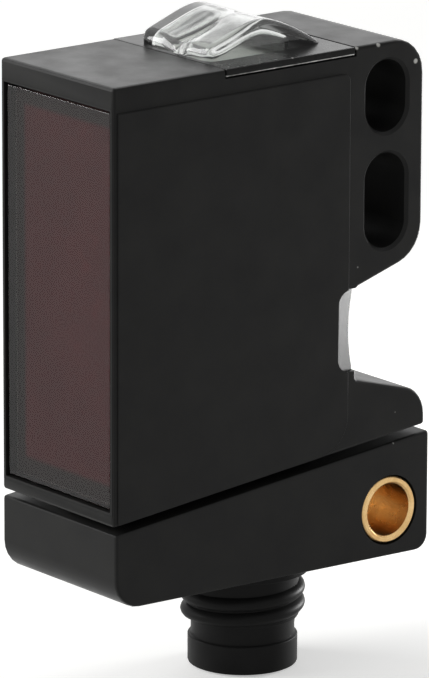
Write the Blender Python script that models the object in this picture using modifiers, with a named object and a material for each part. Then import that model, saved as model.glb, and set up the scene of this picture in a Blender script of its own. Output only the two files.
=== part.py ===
"""Miniature reflective optical sensor with a round threaded plug.

Metres, +Z up. The front window faces -Y, the large sides face +X and -X, and the
plug points down. Sizes are taken from three datum planes: the middle of the width
(X = 0), the front of the housing (Y = 0) and its flat top (Z = 0). A depth runs
towards +Y and a drop runs towards -Z, and both are written as positive lengths.
The empty that carries every piece then puts the middle of the whole at the origin.
"""
import math

import bmesh
import bpy
from mathutils import Matrix, Vector

# Clearances
FIT_GAP = 0.0003              # between pieces that seat on each other
PRESS_GAP = 0.0001            # round pressed, glued and soldered pieces
CUT_OVERRUN = 0.001           # how far a cutter runs past the face it opens
WELD = 0.000001

# Housing
WIDTH = 0.0116                # over the raised side panels
PANEL_RAISE = 0.00012
WALL = 0.0011
HOUSING_EDGE = 0.00022        # rounding along the housing's outer edges
BODY_DEPTH = 0.0194           # front to the rear face between ear and foot, at its ends
BODY_SAG = 0.0004             # how far that face bows in between them
BODY_FLAT = 0.0008            # flat at the lower end of the bowed face
HOUSING_HEIGHT = 0.02775      # flat top to the underside at the front
SEAM_RISE = 0.00236           # how much higher the underside is at the foot's rear
SEAM_REAR_DROP = HOUSING_HEIGHT - SEAM_RISE

# Ear
EAR_REACH = 0.00535           # how far the ear stands out behind the body
EAR_DEPTH = BODY_DEPTH + EAR_REACH
EAR_TOP_RADIUS = 0.0023
EAR_BOTTOM_RADIUS = 0.0026
EAR_SHARE = 0.5009            # part of the height where the ear's underside would meet its rear
EAR_BOTTOM_DROP = HOUSING_HEIGHT * EAR_SHARE
EAR_SLOPE = 0.0016            # how much lower the ear's underside is where it meets the body
NOTCH_TOP_DROP = EAR_BOTTOM_DROP + EAR_SLOPE
NOTCH_CORNER = 0.0003

# Foot
FOOT_REACH = 0.0004           # how far the foot stands out behind the ear
FOOT_DEPTH = EAR_DEPTH + FOOT_REACH
FOOT_HEIGHT = 0.00224         # rear of the foot, to where its sloping top would meet it
FOOT_SLOPE = 0.00165          # how much higher the foot's top is where it meets the body
FOOT_TOP_DROP = SEAM_REAR_DROP - FOOT_HEIGHT
NOTCH_BOTTOM_DROP = FOOT_TOP_DROP - FOOT_SLOPE
FOOT_RADIUS = 0.0020

# Raised side panel and the scoop that breaks its rear edge
PANEL_FRONT_DEPTH = 0.0003
PANEL_REAR_MARGIN = 0.0007
PANEL_REAR_DEPTH = BODY_DEPTH - PANEL_REAR_MARGIN
PANEL_TOP_DROP = 0.0016
PANEL_FOOT_RAISE = 0.0001     # panel's lower edge above the housing's underside
PANEL_CORNER = 0.0005
PANEL_FOOT_CORNER = 0.0024
SCOOP_REACH = 0.0009          # how far the scoop runs into the panel
SCOOP_FOOT_MARGIN = 0.0006    # scoop above the foot
SCOOP_DEPTH = PANEL_REAR_DEPTH - SCOOP_REACH
SCOOP_TOP_DROP = NOTCH_TOP_DROP
SCOOP_BOTTOM_DROP = NOTCH_BOTTOM_DROP - SCOOP_FOOT_MARGIN
SCOOP_TILT = math.radians(21)
SCOOP_CORNER = 0.0010
SCOOP_SLAB = 0.0011           # thickness of the tilted slab that cuts the scoop

# Mounting slots in the ear
SLOT_WIDTH = 0.0033
SLOT_CHAMFER = 0.0002
SLOT_REAR_MARGIN = 0.0030      # centre line of the slots to the ear's rear
SLOT_DEPTH = EAR_DEPTH - SLOT_REAR_MARGIN
SLOT_TOP_MARGIN = 0.00116     # housing above the upper slot
SLOT_FOOT_MARGIN = 0.0006     # lower slot to the end of the ear's straight rear
SLOT_BRIDGE = 0.00135         # between the slots
SLOT_ROOM = EAR_BOTTOM_DROP - SLOT_TOP_MARGIN - SLOT_FOOT_MARGIN - SLOT_BRIDGE
UPPER_SLOT_SHARE = 0.4306     # part of that room that the upper slot takes
UPPER_SLOT_LENGTH = SLOT_ROOM * UPPER_SLOT_SHARE
LOWER_SLOT_LENGTH = SLOT_ROOM - UPPER_SLOT_LENGTH
UPPER_SLOT_DROP = SLOT_TOP_MARGIN + UPPER_SLOT_LENGTH / 2
LOWER_SLOT_DROP = EAR_BOTTOM_DROP - SLOT_FOOT_MARGIN - LOWER_SLOT_LENGTH / 2

# Inner space of the housing
CAVITY_FRONT_DEPTH = 0.0026
CAVITY_REAR_DEPTH = BODY_DEPTH - BODY_SAG - WALL
CAVITY_TOP_DROP = 0.0016
CAVITY_CORNER = 0.0004
INNER_HALF = WIDTH / 2 - PANEL_RAISE - WALL

# Front window
WINDOW_SIDE_MARGIN = 0.0006
WINDOW_FOOT_MARGIN = 0.00105
WINDOW_WIDTH = WIDTH - 2 * WINDOW_SIDE_MARGIN
WINDOW_TOP_DROP = 0.0016
WINDOW_BOTTOM_DROP = HOUSING_HEIGHT - WINDOW_FOOT_MARGIN
WINDOW_THICKNESS = 0.0012
WINDOW_INSET = 0.00012        # window face behind the housing's front
WINDOW_CORNER = 0.00012
RECESS_CORNER = 0.0002
WINDOW_EDGE = 0.00012
WINDOW_LEDGE = 0.0008         # width of the ledge that the window is glued to

# Indicator cover
PLATE_FRONT_DEPTH = 0.0088
PLATE_REAR_MARGIN = 0.0003
PLATE_REAR_DEPTH = BODY_DEPTH - PLATE_REAR_MARGIN
PLATE_THICKNESS = 0.0005
PLATE_CORNER = 0.0003
DOME_FRONT_MARGIN = 0.0005
DOME_REAR_MARGIN = 0.0007
DOME_SIDE_MARGIN = 0.00225
DOME_FRONT_DEPTH = PLATE_FRONT_DEPTH + DOME_FRONT_MARGIN
DOME_REAR_DEPTH = PLATE_REAR_DEPTH - DOME_REAR_MARGIN
DOME_LENGTH = WIDTH - 2 * DOME_SIDE_MARGIN  # across the sensor
DOME_HEIGHT = 0.00215
DOME_TOE_HEIGHT = 0.0007      # upright front edge of the dome
DOME_CREST_SHARE = 0.4835     # place of the crest between the dome's front and rear
DOME_CREST_DEPTH = DOME_FRONT_DEPTH + (DOME_REAR_DEPTH - DOME_FRONT_DEPTH) * DOME_CREST_SHARE
DOME_REAR_DROOP = 0.25        # extra fall of the dome towards its rear
DOME_VALLEY_WIDTH = 0.0017
DOME_VALLEY_SHARE = 0.38      # part of the height that the valley takes away
DOME_FLANK = 0.0009           # width over which the dome's ends round over
DOME_END_SHARE = 0.45         # height of the upright ends as a part of the dome's height
DOME_WALL = 0.0008
DOME_COLUMNS = 22
DOME_ROWS = 20

# Light guide under the cover, and the hole it stands in
GUIDE_SIDE_MARGIN = 0.00095
GUIDE_FRONT_MARGIN = 0.0019
GUIDE_REAR_MARGIN = 0.0016
GUIDE_TAIL = 0.0013           # how far the guide reaches into the inner space
GUIDE_WIDTH = DOME_LENGTH - 2 * GUIDE_SIDE_MARGIN
GUIDE_FRONT_DEPTH = DOME_FRONT_DEPTH + GUIDE_FRONT_MARGIN
GUIDE_REAR_DEPTH = DOME_REAR_DEPTH - GUIDE_REAR_MARGIN
GUIDE_BOTTOM_DROP = CAVITY_TOP_DROP + GUIDE_TAIL
GUIDE_CORNER = 0.0004

# Lower housing
BASE_FRONT_DEPTH = 0.0001
BASE_REACH = 0.0003           # how far the lower housing stands out behind the foot
BASE_DEPTH = FOOT_DEPTH + BASE_REACH
SEAM_GAP = 0.00045
BASE_FRONT_HEIGHT = 0.00535   # underside at the front, below the housing's underside there
BASE_SLOPE = 0.0006           # how much lower the underside is at the rear
BASE_FRONT_DROP = HOUSING_HEIGHT + BASE_FRONT_HEIGHT
BASE_REAR_DROP = BASE_FRONT_DROP + BASE_SLOPE
BASE_CORNER = 0.0010
BASE_FRONT_CORNER = 0.0020
BASE_EDGE = 0.00022
BASE_FLOOR = 0.0017           # thickness of the floor at the front
BASE_FLOOR_DROP = BASE_FRONT_DROP - BASE_FLOOR
COLLAR_WALL = 0.0008
COLLAR_REACH = 0.00375        # how far the collar reaches up into the housing
COLLAR_TOP_DROP = HOUSING_HEIGHT - COLLAR_REACH
SEAL_SPACE = 0.0009           # between the collar and the housing's inner wall

# Rubber seal round the collar
SEAL_TOP_MARGIN = 0.0006
SEAL_TOP_DROP = COLLAR_TOP_DROP + SEAL_TOP_MARGIN
SEAL_HEIGHT = 0.0007

# Brass bush
BUSH_REAR_MARGIN = 0.00329     # centre of the bush to the lower housing's rear
BUSH_RISE = 0.00256            # and above its underside at the front
BUSH_DEPTH = BASE_DEPTH - BUSH_REAR_MARGIN
BUSH_DROP = BASE_FRONT_DROP - BUSH_RISE
BUSH_RADIUS = 0.00219
BUSH_BORE_RADIUS = 0.00172
BUSH_CHAMFER = 0.00012

# Threaded plug
PLUG_REAR_MARGIN = 0.00453    # centre of the plug to the rear of the body
PLUG_DEPTH = BODY_DEPTH - PLUG_REAR_MARGIN
PLUG_ROOT = 0.0004            # how far under the lower housing's floor the barrel starts
PLUG_FLANGE_RADIUS = 0.0043
PLUG_FLANGE_HEIGHT = 0.0012   # below the lower housing's underside at the front
PLUG_FLANGE_DROP = BASE_FRONT_DROP + PLUG_FLANGE_HEIGHT
THREAD_CREST_RADIUS = 0.0040
THREAD_ROOT_RADIUS = 0.0036
THREAD_PITCH = 0.0010
THREAD_LENGTH = 0.0031
THREAD_PHASE = 0.00238        # first crest on the +X side, below the flange
THREAD_START_FADE = 0.0009    # length over which the thread rises below the flange
THREAD_END_FADE = 0.0005      # and over which it runs out again
THREAD_ROWS = 8               # rows of faces in one pitch
THREAD_END_DROP = PLUG_FLANGE_DROP + THREAD_LENGTH
THREAD_CREST_DROP = PLUG_FLANGE_DROP + THREAD_PHASE
GROOVE_RADIUS = 0.00332
GROOVE_LENGTH = 0.00125
GROOVE_END_DROP = THREAD_END_DROP + GROOVE_LENGTH
RING_RADIUS = 0.00352
RING_CHAMFER = 0.00015
RING_LENGTH = 0.00187
PLUG_END_DROP = GROOVE_END_DROP + RING_LENGTH
PLUG_BORE_RADIUS = 0.0028
PLUG_NECK_RADIUS = 0.0022     # smaller hole above the contact carrier
PLUG_NECK_LENGTH = 0.0008
CARRIER_SEAT_DROP = BASE_FLOOR_DROP + PLUG_NECK_LENGTH

# Room in the lower housing between the collar and the plug
BASE_SIDE_WALL = 0.0025
ROOM_FRONT_MARGIN = 0.0014    # front of the room behind the front of the inner space
ROOM_REACH = 0.00273          # rear of the room behind the middle of the plug
BASE_ROOM_HALF = WIDTH / 2 - BASE_SIDE_WALL
BASE_ROOM_FRONT = CAVITY_FRONT_DEPTH + ROOM_FRONT_MARGIN
BASE_ROOM_REAR = PLUG_DEPTH + ROOM_REACH

# Contacts
CONTACT_CARRIER_HEIGHT = 0.0030
CONTACT_CIRCLE_RADIUS = 0.00145
CONTACT_RADIUS = 0.0005
CONTACT_SETBACK = 0.0010      # contact tips inside the end of the plug
CONTACT_TAIL = 0.0016         # tails above the contact carrier
CONTACT_TIP_DROP = PLUG_END_DROP - CONTACT_SETBACK
CONTACT_TOP_DROP = CARRIER_SEAT_DROP - CONTACT_TAIL
CONTACT_COUNT = 4
CONTACT_STEPS = 16            # sides of a round contact
LEAD_RADIUS = 0.00022
LEAD_LAP = 0.0008             # length of a wire that lies on the board
LEAD_EASE_START = 0.08        # parts of a wire's height at which it starts and stops crossing over
LEAD_EASE_END = 0.88

# Optics carrier and lenses
CARRIER_FRONT_DEPTH = CAVITY_FRONT_DEPTH + FIT_GAP
CARRIER_SHARE = 0.418         # part of the inner space's depth that the carrier takes
CARRIER_REAR_DEPTH = CARRIER_FRONT_DEPTH + (CAVITY_REAR_DEPTH - CAVITY_FRONT_DEPTH) * CARRIER_SHARE
CARRIER_TOP_MARGIN = 0.0014
CARRIER_FOOT_MARGIN = 0.0004  # carrier above the collar
CARRIER_TOP_DROP = CAVITY_TOP_DROP + CARRIER_TOP_MARGIN
CARRIER_BOTTOM_DROP = COLLAR_TOP_DROP - CARRIER_FOOT_MARGIN
CARRIER_HALF = INNER_HALF - FIT_GAP
CARRIER_CORNER = 0.0004
EMITTER_SHARE = 0.2476        # place of the emitter between the carrier's top and bottom
RECEIVER_SHARE = 0.7282
EMITTER_DROP = CARRIER_TOP_DROP + (CARRIER_BOTTOM_DROP - CARRIER_TOP_DROP) * EMITTER_SHARE
RECEIVER_DROP = CARRIER_TOP_DROP + (CARRIER_BOTTOM_DROP - CARRIER_TOP_DROP) * RECEIVER_SHARE
EMITTER_LENS_MARGIN = 0.00098  # carrier beside the lens
RECEIVER_LENS_MARGIN = 0.00068
EMITTER_LENS_RADIUS = CARRIER_HALF - EMITTER_LENS_MARGIN
RECEIVER_LENS_RADIUS = CARRIER_HALF - RECEIVER_LENS_MARGIN
LENS_EDGE = 0.0007            # thickness of a lens at its rim
LENS_BULGE = 0.0012
LENS_SEAT_DEPTH = 0.0024

# Boards
BOARD_THICKNESS = 0.0008
OPTICS_BOARD_FRONT_DEPTH = CARRIER_REAR_DEPTH + FIT_GAP
OPTICS_BOARD_REAR_DEPTH = OPTICS_BOARD_FRONT_DEPTH + BOARD_THICKNESS
OPTICS_BOARD_FOOT_MARGIN = 0.0002           # board's lower edge above the carrier's
OPTICS_BOARD_BOTTOM_DROP = CARRIER_BOTTOM_DROP - OPTICS_BOARD_FOOT_MARGIN
BOARD_SPACING = 0.0014        # between the optics board and the main board
MAIN_BOARD_FRONT_DEPTH = OPTICS_BOARD_REAR_DEPTH + BOARD_SPACING
MAIN_BOARD_REAR_DEPTH = CAVITY_REAR_DEPTH - FIT_GAP
MAIN_BOARD_DEPTH = MAIN_BOARD_REAR_DEPTH - MAIN_BOARD_FRONT_DEPTH
MAIN_BOARD_TOP_MARGIN = 0.0018
MAIN_BOARD_TOP_DROP = CAVITY_TOP_DROP + MAIN_BOARD_TOP_MARGIN
LEAD_SPAN = 0.0030            # main board's lower edge above the contacts' tails
MAIN_BOARD_BOTTOM_DROP = CONTACT_TOP_DROP - LEAD_SPAN
MAIN_BOARD_HEIGHT = MAIN_BOARD_BOTTOM_DROP - MAIN_BOARD_TOP_DROP
LINK_THICKNESS = 0.0002
LINK_REACH = 0.0026           # length of film that lies on the optics board
LINK_SHARE = 0.45             # part of the main board's depth that the film lies on
LINK_TOP_REACH = 0.0020       # top of the film above the receiver's axis
LINK_TOP_DROP = RECEIVER_DROP - LINK_TOP_REACH
LINK_HEIGHT = 0.0060
LINK_BEND_RADIUS = 0.0008

# Components on the boards, each a size (across its board, along it, up it). A place
# on the main board is a share of the board's depth from its front and of its height
# from its top, to the middle of the component.
EMITTER_LED_SIZE = (0.0016, 0.0009, 0.0016)
RECEIVER_CHIP_SIZE = (0.0017, 0.0007, 0.0017)
SHIELD_SIZE = (0.0027, 0.0010, 0.0042)
SHIELD_SHEET = 0.00015
SHIELD_SIDE_MARGIN = 0.00033   # shield to the -X end of the optics board
SHIELD_X = SHIELD_SIZE[0] / 2 + SHIELD_SIDE_MARGIN - CARRIER_HALF
AMPLIFIER_SIZE = (0.0016, 0.0005, 0.0024)
PROCESSOR_SIZE = (0.0008, 0.0040, 0.0040)
PROCESSOR_PLACE = (0.517, 0.293)
DRIVER_SIZE = (0.0009, 0.0032, 0.0032)
DRIVER_PLACE = (0.483, 0.686)
REGULATOR_SIZE = (0.0010, 0.0016, 0.0029)
REGULATOR_PLACE = (0.793, 0.541)
CAPACITOR_SIZE = (0.0009, 0.0020, 0.0012)
CAPACITOR_PLACE = (0.483, 0.190)
CAPACITOR_STEP = 0.1075       # share of the board's height from one capacitor to the next
CAPACITOR_COUNT = 3
INDICATOR_SIZE = (0.0008, 0.0016, 0.0009)
INDICATOR_SHARE = 0.379       # place of the indicators in the board's depth, at its top
CHIP_EDGE_PART = 10           # a chip's edge rounding goes into its least size this often

# Roundness
ARC_STEPS = 6                 # straight pieces in one corner arc
TURN_STEPS = 40               # sides of a turned piece

PLANE_TURNS = {
    "XY": Matrix.Identity(4),
    "YZ": Matrix(((0, 0, 1, 0), (1, 0, 0, 0), (0, 1, 0, 0), (0, 0, 0, 1))),
    "XZ": Matrix(((1, 0, 0, 0), (0, 0, -1, 0), (0, 1, 0, 0), (0, 0, 0, 1))),
}

for old_object in list(bpy.data.objects):
    bpy.data.objects.remove(old_object, do_unlink=True)

part_collection = bpy.data.collections.new("optical_sensor")
cutter_collection = bpy.data.collections.new("cutters")
bpy.context.scene.collection.children.link(part_collection)
bpy.context.scene.collection.children.link(cutter_collection)

sensor_middle = bpy.data.objects.new("sensor_middle", None)
sensor_middle.location = (0, -BASE_DEPTH / 2, (PLUG_END_DROP - DOME_HEIGHT) / 2)
part_collection.objects.link(sensor_middle)


def make_material(name, colour, roughness, metallic=0.0, alpha=1.0):
    """A Principled material with the piece's own colour, gloss and metal."""
    material = bpy.data.materials.new(name)
    material.use_nodes = True
    shader = material.node_tree.nodes["Principled BSDF"]
    shader.inputs["Base Color"].default_value = (*colour, 1.0)
    shader.inputs["Roughness"].default_value = roughness
    shader.inputs["Metallic"].default_value = metallic
    shader.inputs["Alpha"].default_value = alpha
    return material


BLACK_PLASTIC = make_material("black_moulded_plastic", (0.018, 0.018, 0.018), 0.42)
CARRIER_PLASTIC = make_material("matt_black_plastic", (0.010, 0.010, 0.010), 0.70)
RED_FILTER = make_material("red_tinted_acrylic", (0.045, 0.010, 0.010), 0.08)
CLEAR_PLASTIC = make_material("clear_polycarbonate", (0.80, 0.80, 0.78), 0.08, alpha=0.4)
BRASS = make_material("turned_brass", (0.70, 0.49, 0.22), 0.28, 1.0)
TIN_PLATE = make_material("tin_plate", (0.62, 0.62, 0.60), 0.30, 1.0)
GOLD_PLATE = make_material("gold_plated_contact", (0.83, 0.62, 0.25), 0.22, 1.0)
BOARD_GREEN = make_material("glass_fibre_board", (0.020, 0.110, 0.045), 0.45)
POLYIMIDE = make_material("polyimide_film", (0.42, 0.20, 0.04), 0.35)
CHIP_BLACK = make_material("moulded_chip_body", (0.020, 0.020, 0.022), 0.55)
CERAMIC = make_material("ceramic_capacitor", (0.40, 0.29, 0.20), 0.50)
LED_RED = make_material("red_emitter_resin", (0.55, 0.03, 0.03), 0.15)
LED_GREEN = make_material("green_indicator_resin", (0.08, 0.45, 0.12), 0.15)
LED_YELLOW = make_material("yellow_indicator_resin", (0.75, 0.50, 0.05), 0.15)
SEAL_RUBBER = make_material("seal_rubber", (0.015, 0.015, 0.015), 0.80)
LENS_ACRYLIC = make_material("lens_acrylic", (0.85, 0.85, 0.85), 0.05, alpha=0.4)
WIRE_SLEEVE = make_material("wire_insulation", (0.45, 0.45, 0.42), 0.50)


def rounded_outline(corners):
    """An outline through corners (u, v, radius), with an arc at each corner that has a radius."""
    points = []
    for index, (u, v, radius) in enumerate(corners):
        corner = Vector((u, v))
        if radius == 0:
            points.append(corner)
            continue
        back = (Vector(corners[index - 1][:2]) - corner).normalized()
        ahead = (Vector(corners[(index + 1) % len(corners)][:2]) - corner).normalized()
        half_angle = back.angle(ahead) / 2
        centre = corner + (back + ahead).normalized() * (radius / math.sin(half_angle))
        first = corner + back * (radius / math.tan(half_angle)) - centre
        last = corner + ahead * (radius / math.tan(half_angle)) - centre
        start_angle = math.atan2(first.y, first.x)
        swing = math.atan2(last.y, last.x) - start_angle
        swing = (swing + math.pi) % (2 * math.pi) - math.pi
        for step in range(ARC_STEPS + 1):
            angle = start_angle + swing * step / ARC_STEPS
            points.append(centre + Vector((math.cos(angle), math.sin(angle))) * radius)
    return points


def rounded_box(low_u, high_u, low_v, high_v, radius):
    """A rectangle with rounded corners, as outline points."""
    return rounded_outline([
        (low_u, low_v, radius), (high_u, low_v, radius),
        (high_u, high_v, radius), (low_u, high_v, radius)])


def circle_outline(centre_u, centre_v, radius):
    """A circle as outline points."""
    turns = [2 * math.pi * (step + 0.5) / TURN_STEPS for step in range(TURN_STEPS)]
    return [Vector((centre_u + radius * math.cos(turn), centre_v + radius * math.sin(turn)))
            for turn in turns]


def place(piece, material, is_cutter):
    """Gives an object its material, its collection and the common parent."""
    collection = cutter_collection if is_cutter else part_collection
    collection.objects.link(piece)
    piece.parent = sensor_middle
    piece.data.materials.clear()
    if material:
        piece.data.materials.append(material)
    if is_cutter:
        piece.hide_render = True
        piece.display_type = "WIRE"
    return piece


def solid_mesh(source):
    """The welded mesh of an object that is a curve or has modifiers; the object is removed."""
    bpy.context.scene.collection.objects.link(source)
    graph = bpy.context.evaluated_depsgraph_get()
    mesh = bpy.data.meshes.new_from_object(source.evaluated_get(graph))
    form = bmesh.new()
    form.from_mesh(mesh)
    bmesh.ops.remove_doubles(form, verts=form.verts, dist=WELD)
    bmesh.ops.dissolve_limit(form, angle_limit=math.radians(0.1), verts=form.verts, edges=form.edges)
    bmesh.ops.recalc_face_normals(form, faces=form.faces)
    form.to_mesh(mesh)
    form.free()
    bpy.data.objects.remove(source, do_unlink=True)
    return mesh


def prism(name, outlines, low, high, plane, material=None):
    """A flat outline, with any holes after it, given its thickness from low to high.

    In plane XY the outline is (x, y) and the thickness runs along z, in YZ it is
    (y, z) and runs along x, and in XZ it is (x, z) and runs along y. Without a
    material the prism is a cutter.
    """
    curve = bpy.data.curves.new(name, "CURVE")
    curve.dimensions = "2D"
    curve.fill_mode = "BOTH"
    curve.extrude = (high - low) / 2
    for outline in outlines:
        spline = curve.splines.new("POLY")
        spline.points.add(len(outline) - 1)
        for point, (u, v) in zip(spline.points, outline):
            point.co = (u, v, 0, 1)
        spline.use_cyclic_u = True
    mesh = solid_mesh(bpy.data.objects.new(name, curve))
    middle = (low + high) / 2
    along = -middle if plane == "XZ" else middle
    mesh.transform(PLANE_TURNS[plane] @ Matrix.Translation((0, 0, along)))
    return place(bpy.data.objects.new(name, mesh), material, material is None)


def turned(name, profile, material=None, steps=TURN_STEPS, closed=False):
    """A profile (radius, height) that runs down its outer side, turned about Z by a Screw."""
    mesh = bpy.data.meshes.new(name)
    form = bmesh.new()
    points = [form.verts.new((radius, 0, height)) for radius, height in profile]
    for upper, lower in zip(points, points[1:]):
        form.edges.new((upper, lower))
    if closed:
        form.edges.new((points[-1], points[0]))
    form.to_mesh(mesh)
    form.free()
    piece = place(bpy.data.objects.new(name, mesh), material, material is None)
    screw = piece.modifiers.new("turn", "SCREW")
    screw.axis = "Z"
    screw.steps = steps
    screw.render_steps = steps
    screw.use_merge_vertices = True
    screw.merge_threshold = WELD
    screw.use_smooth_shade = False
    return piece


def bevel(piece, width, segments=2, angle=50):
    """Rounds the piece's edges that are sharper than the angle."""
    rounding = piece.modifiers.new("edge rounding", "BEVEL")
    rounding.width = width
    rounding.segments = segments
    rounding.limit_method = "ANGLE"
    rounding.angle_limit = math.radians(angle)
    return piece


def combine(target, other, operation):
    """Cuts, joins or trims the target with another solid."""
    step = target.modifiers.new(other.name, "BOOLEAN")
    step.operation = operation
    step.solver = "EXACT"
    step.object = other


def seam_drop(depth, offset=0.0):
    """Drop of the slanting seam under the housing at a depth, lowered by an offset."""
    return HOUSING_HEIGHT - SEAM_RISE * depth / FOOT_DEPTH + offset


def notch_floor():
    """The rear face between ear and foot, from top to bottom, as a shallow inward arc."""
    top = NOTCH_TOP_DROP + NOTCH_CORNER
    foot = NOTCH_BOTTOM_DROP - BODY_FLAT
    points = []
    for step in range(ARC_STEPS + 1):
        share = step / ARC_STEPS
        depth = BODY_DEPTH - 4 * BODY_SAG * share * (1 - share)
        points.append((depth, -top - (foot - top) * share, 0))
    return points


def housing_outline():
    """Side view of the housing: box, ear with its sloping underside, notch and foot."""
    return rounded_outline([
        (0, 0, 0),
        (EAR_DEPTH, 0, EAR_TOP_RADIUS),
        (EAR_DEPTH, -EAR_BOTTOM_DROP, EAR_BOTTOM_RADIUS),
        (BODY_DEPTH, -NOTCH_TOP_DROP, NOTCH_CORNER),
        *notch_floor(),
        (BODY_DEPTH, -NOTCH_BOTTOM_DROP, NOTCH_CORNER),
        (FOOT_DEPTH, -FOOT_TOP_DROP, FOOT_RADIUS),
        (FOOT_DEPTH, -seam_drop(FOOT_DEPTH), 0),
        (0, -seam_drop(0), 0)])


def panel_outline():
    """Side view of the raised panel, which ends in a wide curve above the foot."""
    rear_foot = -seam_drop(PANEL_REAR_DEPTH, -PANEL_FOOT_RAISE)
    return rounded_outline([
        (PANEL_FRONT_DEPTH, -PANEL_TOP_DROP, 0),
        (PANEL_REAR_DEPTH, -PANEL_TOP_DROP, PANEL_CORNER),
        (PANEL_REAR_DEPTH, rear_foot, PANEL_FOOT_CORNER),
        (PANEL_FRONT_DEPTH, -seam_drop(PANEL_FRONT_DEPTH, -PANEL_FOOT_RAISE), 0)])


def slot_cutter(name, length, drop):
    """A slot through the ear with a chamfer at each mouth: a turned spool pulled apart."""
    reach = WIDTH / 2 + CUT_OVERRUN
    face = WIDTH / 2 - PANEL_RAISE
    radius = SLOT_WIDTH / 2
    flare = radius + SLOT_CHAMFER + reach - face
    spool = turned(name, [
        (0, reach), (flare, reach), (radius, face - SLOT_CHAMFER),
        (radius, SLOT_CHAMFER - face), (flare, -reach), (0, -reach)])
    graph = bpy.context.evaluated_depsgraph_get()
    spool.data = bpy.data.meshes.new_from_object(spool.evaluated_get(graph))
    spool.modifiers.clear()
    spool.data.transform(Matrix.Rotation(math.radians(180 / TURN_STEPS), 4, "Z"))
    spool.data.transform(Matrix.Rotation(math.radians(90), 4, "Y"))
    half_pull = (length - SLOT_WIDTH) / 2
    for vertex in spool.data.vertices:
        if abs(vertex.co.z) > WELD:
            vertex.co.z += math.copysign(half_pull, vertex.co.z)
    spool.location = (0, SLOT_DEPTH, -drop)
    return spool


def scoop_cutter(name, side):
    """A slab with rounded corners, tilted so that it shaves the panel's rear edge."""
    outline = rounded_box(
        0, EAR_DEPTH - SCOOP_DEPTH, -SCOOP_BOTTOM_DROP, -SCOOP_TOP_DROP, SCOOP_CORNER)
    low, high = (0, SCOOP_SLAB) if side > 0 else (-SCOOP_SLAB, 0)
    slab = prism(name, [outline], low, high, "YZ")
    slab.location = (side * WIDTH / 2, SCOOP_DEPTH, 0)
    slab.rotation_euler.z = side * SCOOP_TILT
    return slab


def make_housing():
    """The moulded body: outline, raised panels, inner space, window and cover seats, slots."""
    half = WIDTH / 2 - PANEL_RAISE
    housing = prism("housing", [housing_outline()], -half, half, "YZ", BLACK_PLASTIC)
    bevel(housing, HOUSING_EDGE)
    panels = prism("side_panels", [panel_outline()], -WIDTH / 2, WIDTH / 2, "YZ")
    bevel(panels, PANEL_RAISE / 2, segments=1)
    combine(housing, panels, "UNION")

    inner = rounded_box(-INNER_HALF, INNER_HALF, CAVITY_FRONT_DEPTH, CAVITY_REAR_DEPTH, CAVITY_CORNER)
    inner_bottom = -HOUSING_HEIGHT - CUT_OVERRUN
    combine(housing, prism("inner_space", [inner], inner_bottom, -CAVITY_TOP_DROP, "XY"), "DIFFERENCE")

    recess_half = WINDOW_WIDTH / 2 + FIT_GAP
    recess = rounded_box(
        -recess_half, recess_half, -WINDOW_BOTTOM_DROP - FIT_GAP, -WINDOW_TOP_DROP + FIT_GAP,
        RECESS_CORNER)
    recess_depth = WINDOW_INSET + WINDOW_THICKNESS + PRESS_GAP
    combine(housing, prism("window_recess", [recess], -CUT_OVERRUN, recess_depth, "XZ"), "DIFFERENCE")
    opening_half = WINDOW_WIDTH / 2 - WINDOW_LEDGE
    opening = rounded_box(
        -opening_half, opening_half, -WINDOW_BOTTOM_DROP + WINDOW_LEDGE,
        -WINDOW_TOP_DROP - WINDOW_LEDGE, WINDOW_CORNER)
    combine(housing, prism(
        "window_opening", [opening], 0, CAVITY_FRONT_DEPTH + CUT_OVERRUN, "XZ"), "DIFFERENCE")

    seat = rounded_box(
        -WIDTH, WIDTH, PLATE_FRONT_DEPTH - PRESS_GAP, PLATE_REAR_DEPTH + PRESS_GAP, PLATE_CORNER)
    combine(housing, prism(
        "cover_seat", [seat], -PLATE_THICKNESS - PRESS_GAP, CUT_OVERRUN, "XY"), "DIFFERENCE")
    guide_half = GUIDE_WIDTH / 2 + FIT_GAP
    guide_hole = rounded_box(
        -guide_half, guide_half, GUIDE_FRONT_DEPTH - FIT_GAP, GUIDE_REAR_DEPTH + FIT_GAP,
        GUIDE_CORNER + FIT_GAP)
    combine(housing, prism(
        "guide_hole", [guide_hole], -CAVITY_TOP_DROP - CUT_OVERRUN, CUT_OVERRUN, "XY"), "DIFFERENCE")

    combine(housing, slot_cutter("upper_slot", UPPER_SLOT_LENGTH, UPPER_SLOT_DROP), "DIFFERENCE")
    combine(housing, slot_cutter("lower_slot", LOWER_SLOT_LENGTH, LOWER_SLOT_DROP), "DIFFERENCE")
    combine(housing, scoop_cutter("right_scoop", 1), "DIFFERENCE")
    combine(housing, scoop_cutter("left_scoop", -1), "DIFFERENCE")


def make_window():
    """The tinted filter plate, glued into the recess in the front."""
    half = WINDOW_WIDTH / 2
    outline = rounded_box(-half, half, -WINDOW_BOTTOM_DROP, -WINDOW_TOP_DROP, WINDOW_CORNER)
    window = prism(
        "front_window", [outline], WINDOW_INSET, WINDOW_INSET + WINDOW_THICKNESS, "XZ", RED_FILTER)
    bevel(window, WINDOW_EDGE)


def smooth_step(share):
    """Rises from 0 to 1 with no corner at either end."""
    share = min(max(share, 0.0), 1.0)
    return share * share * (3 - 2 * share)


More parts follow.
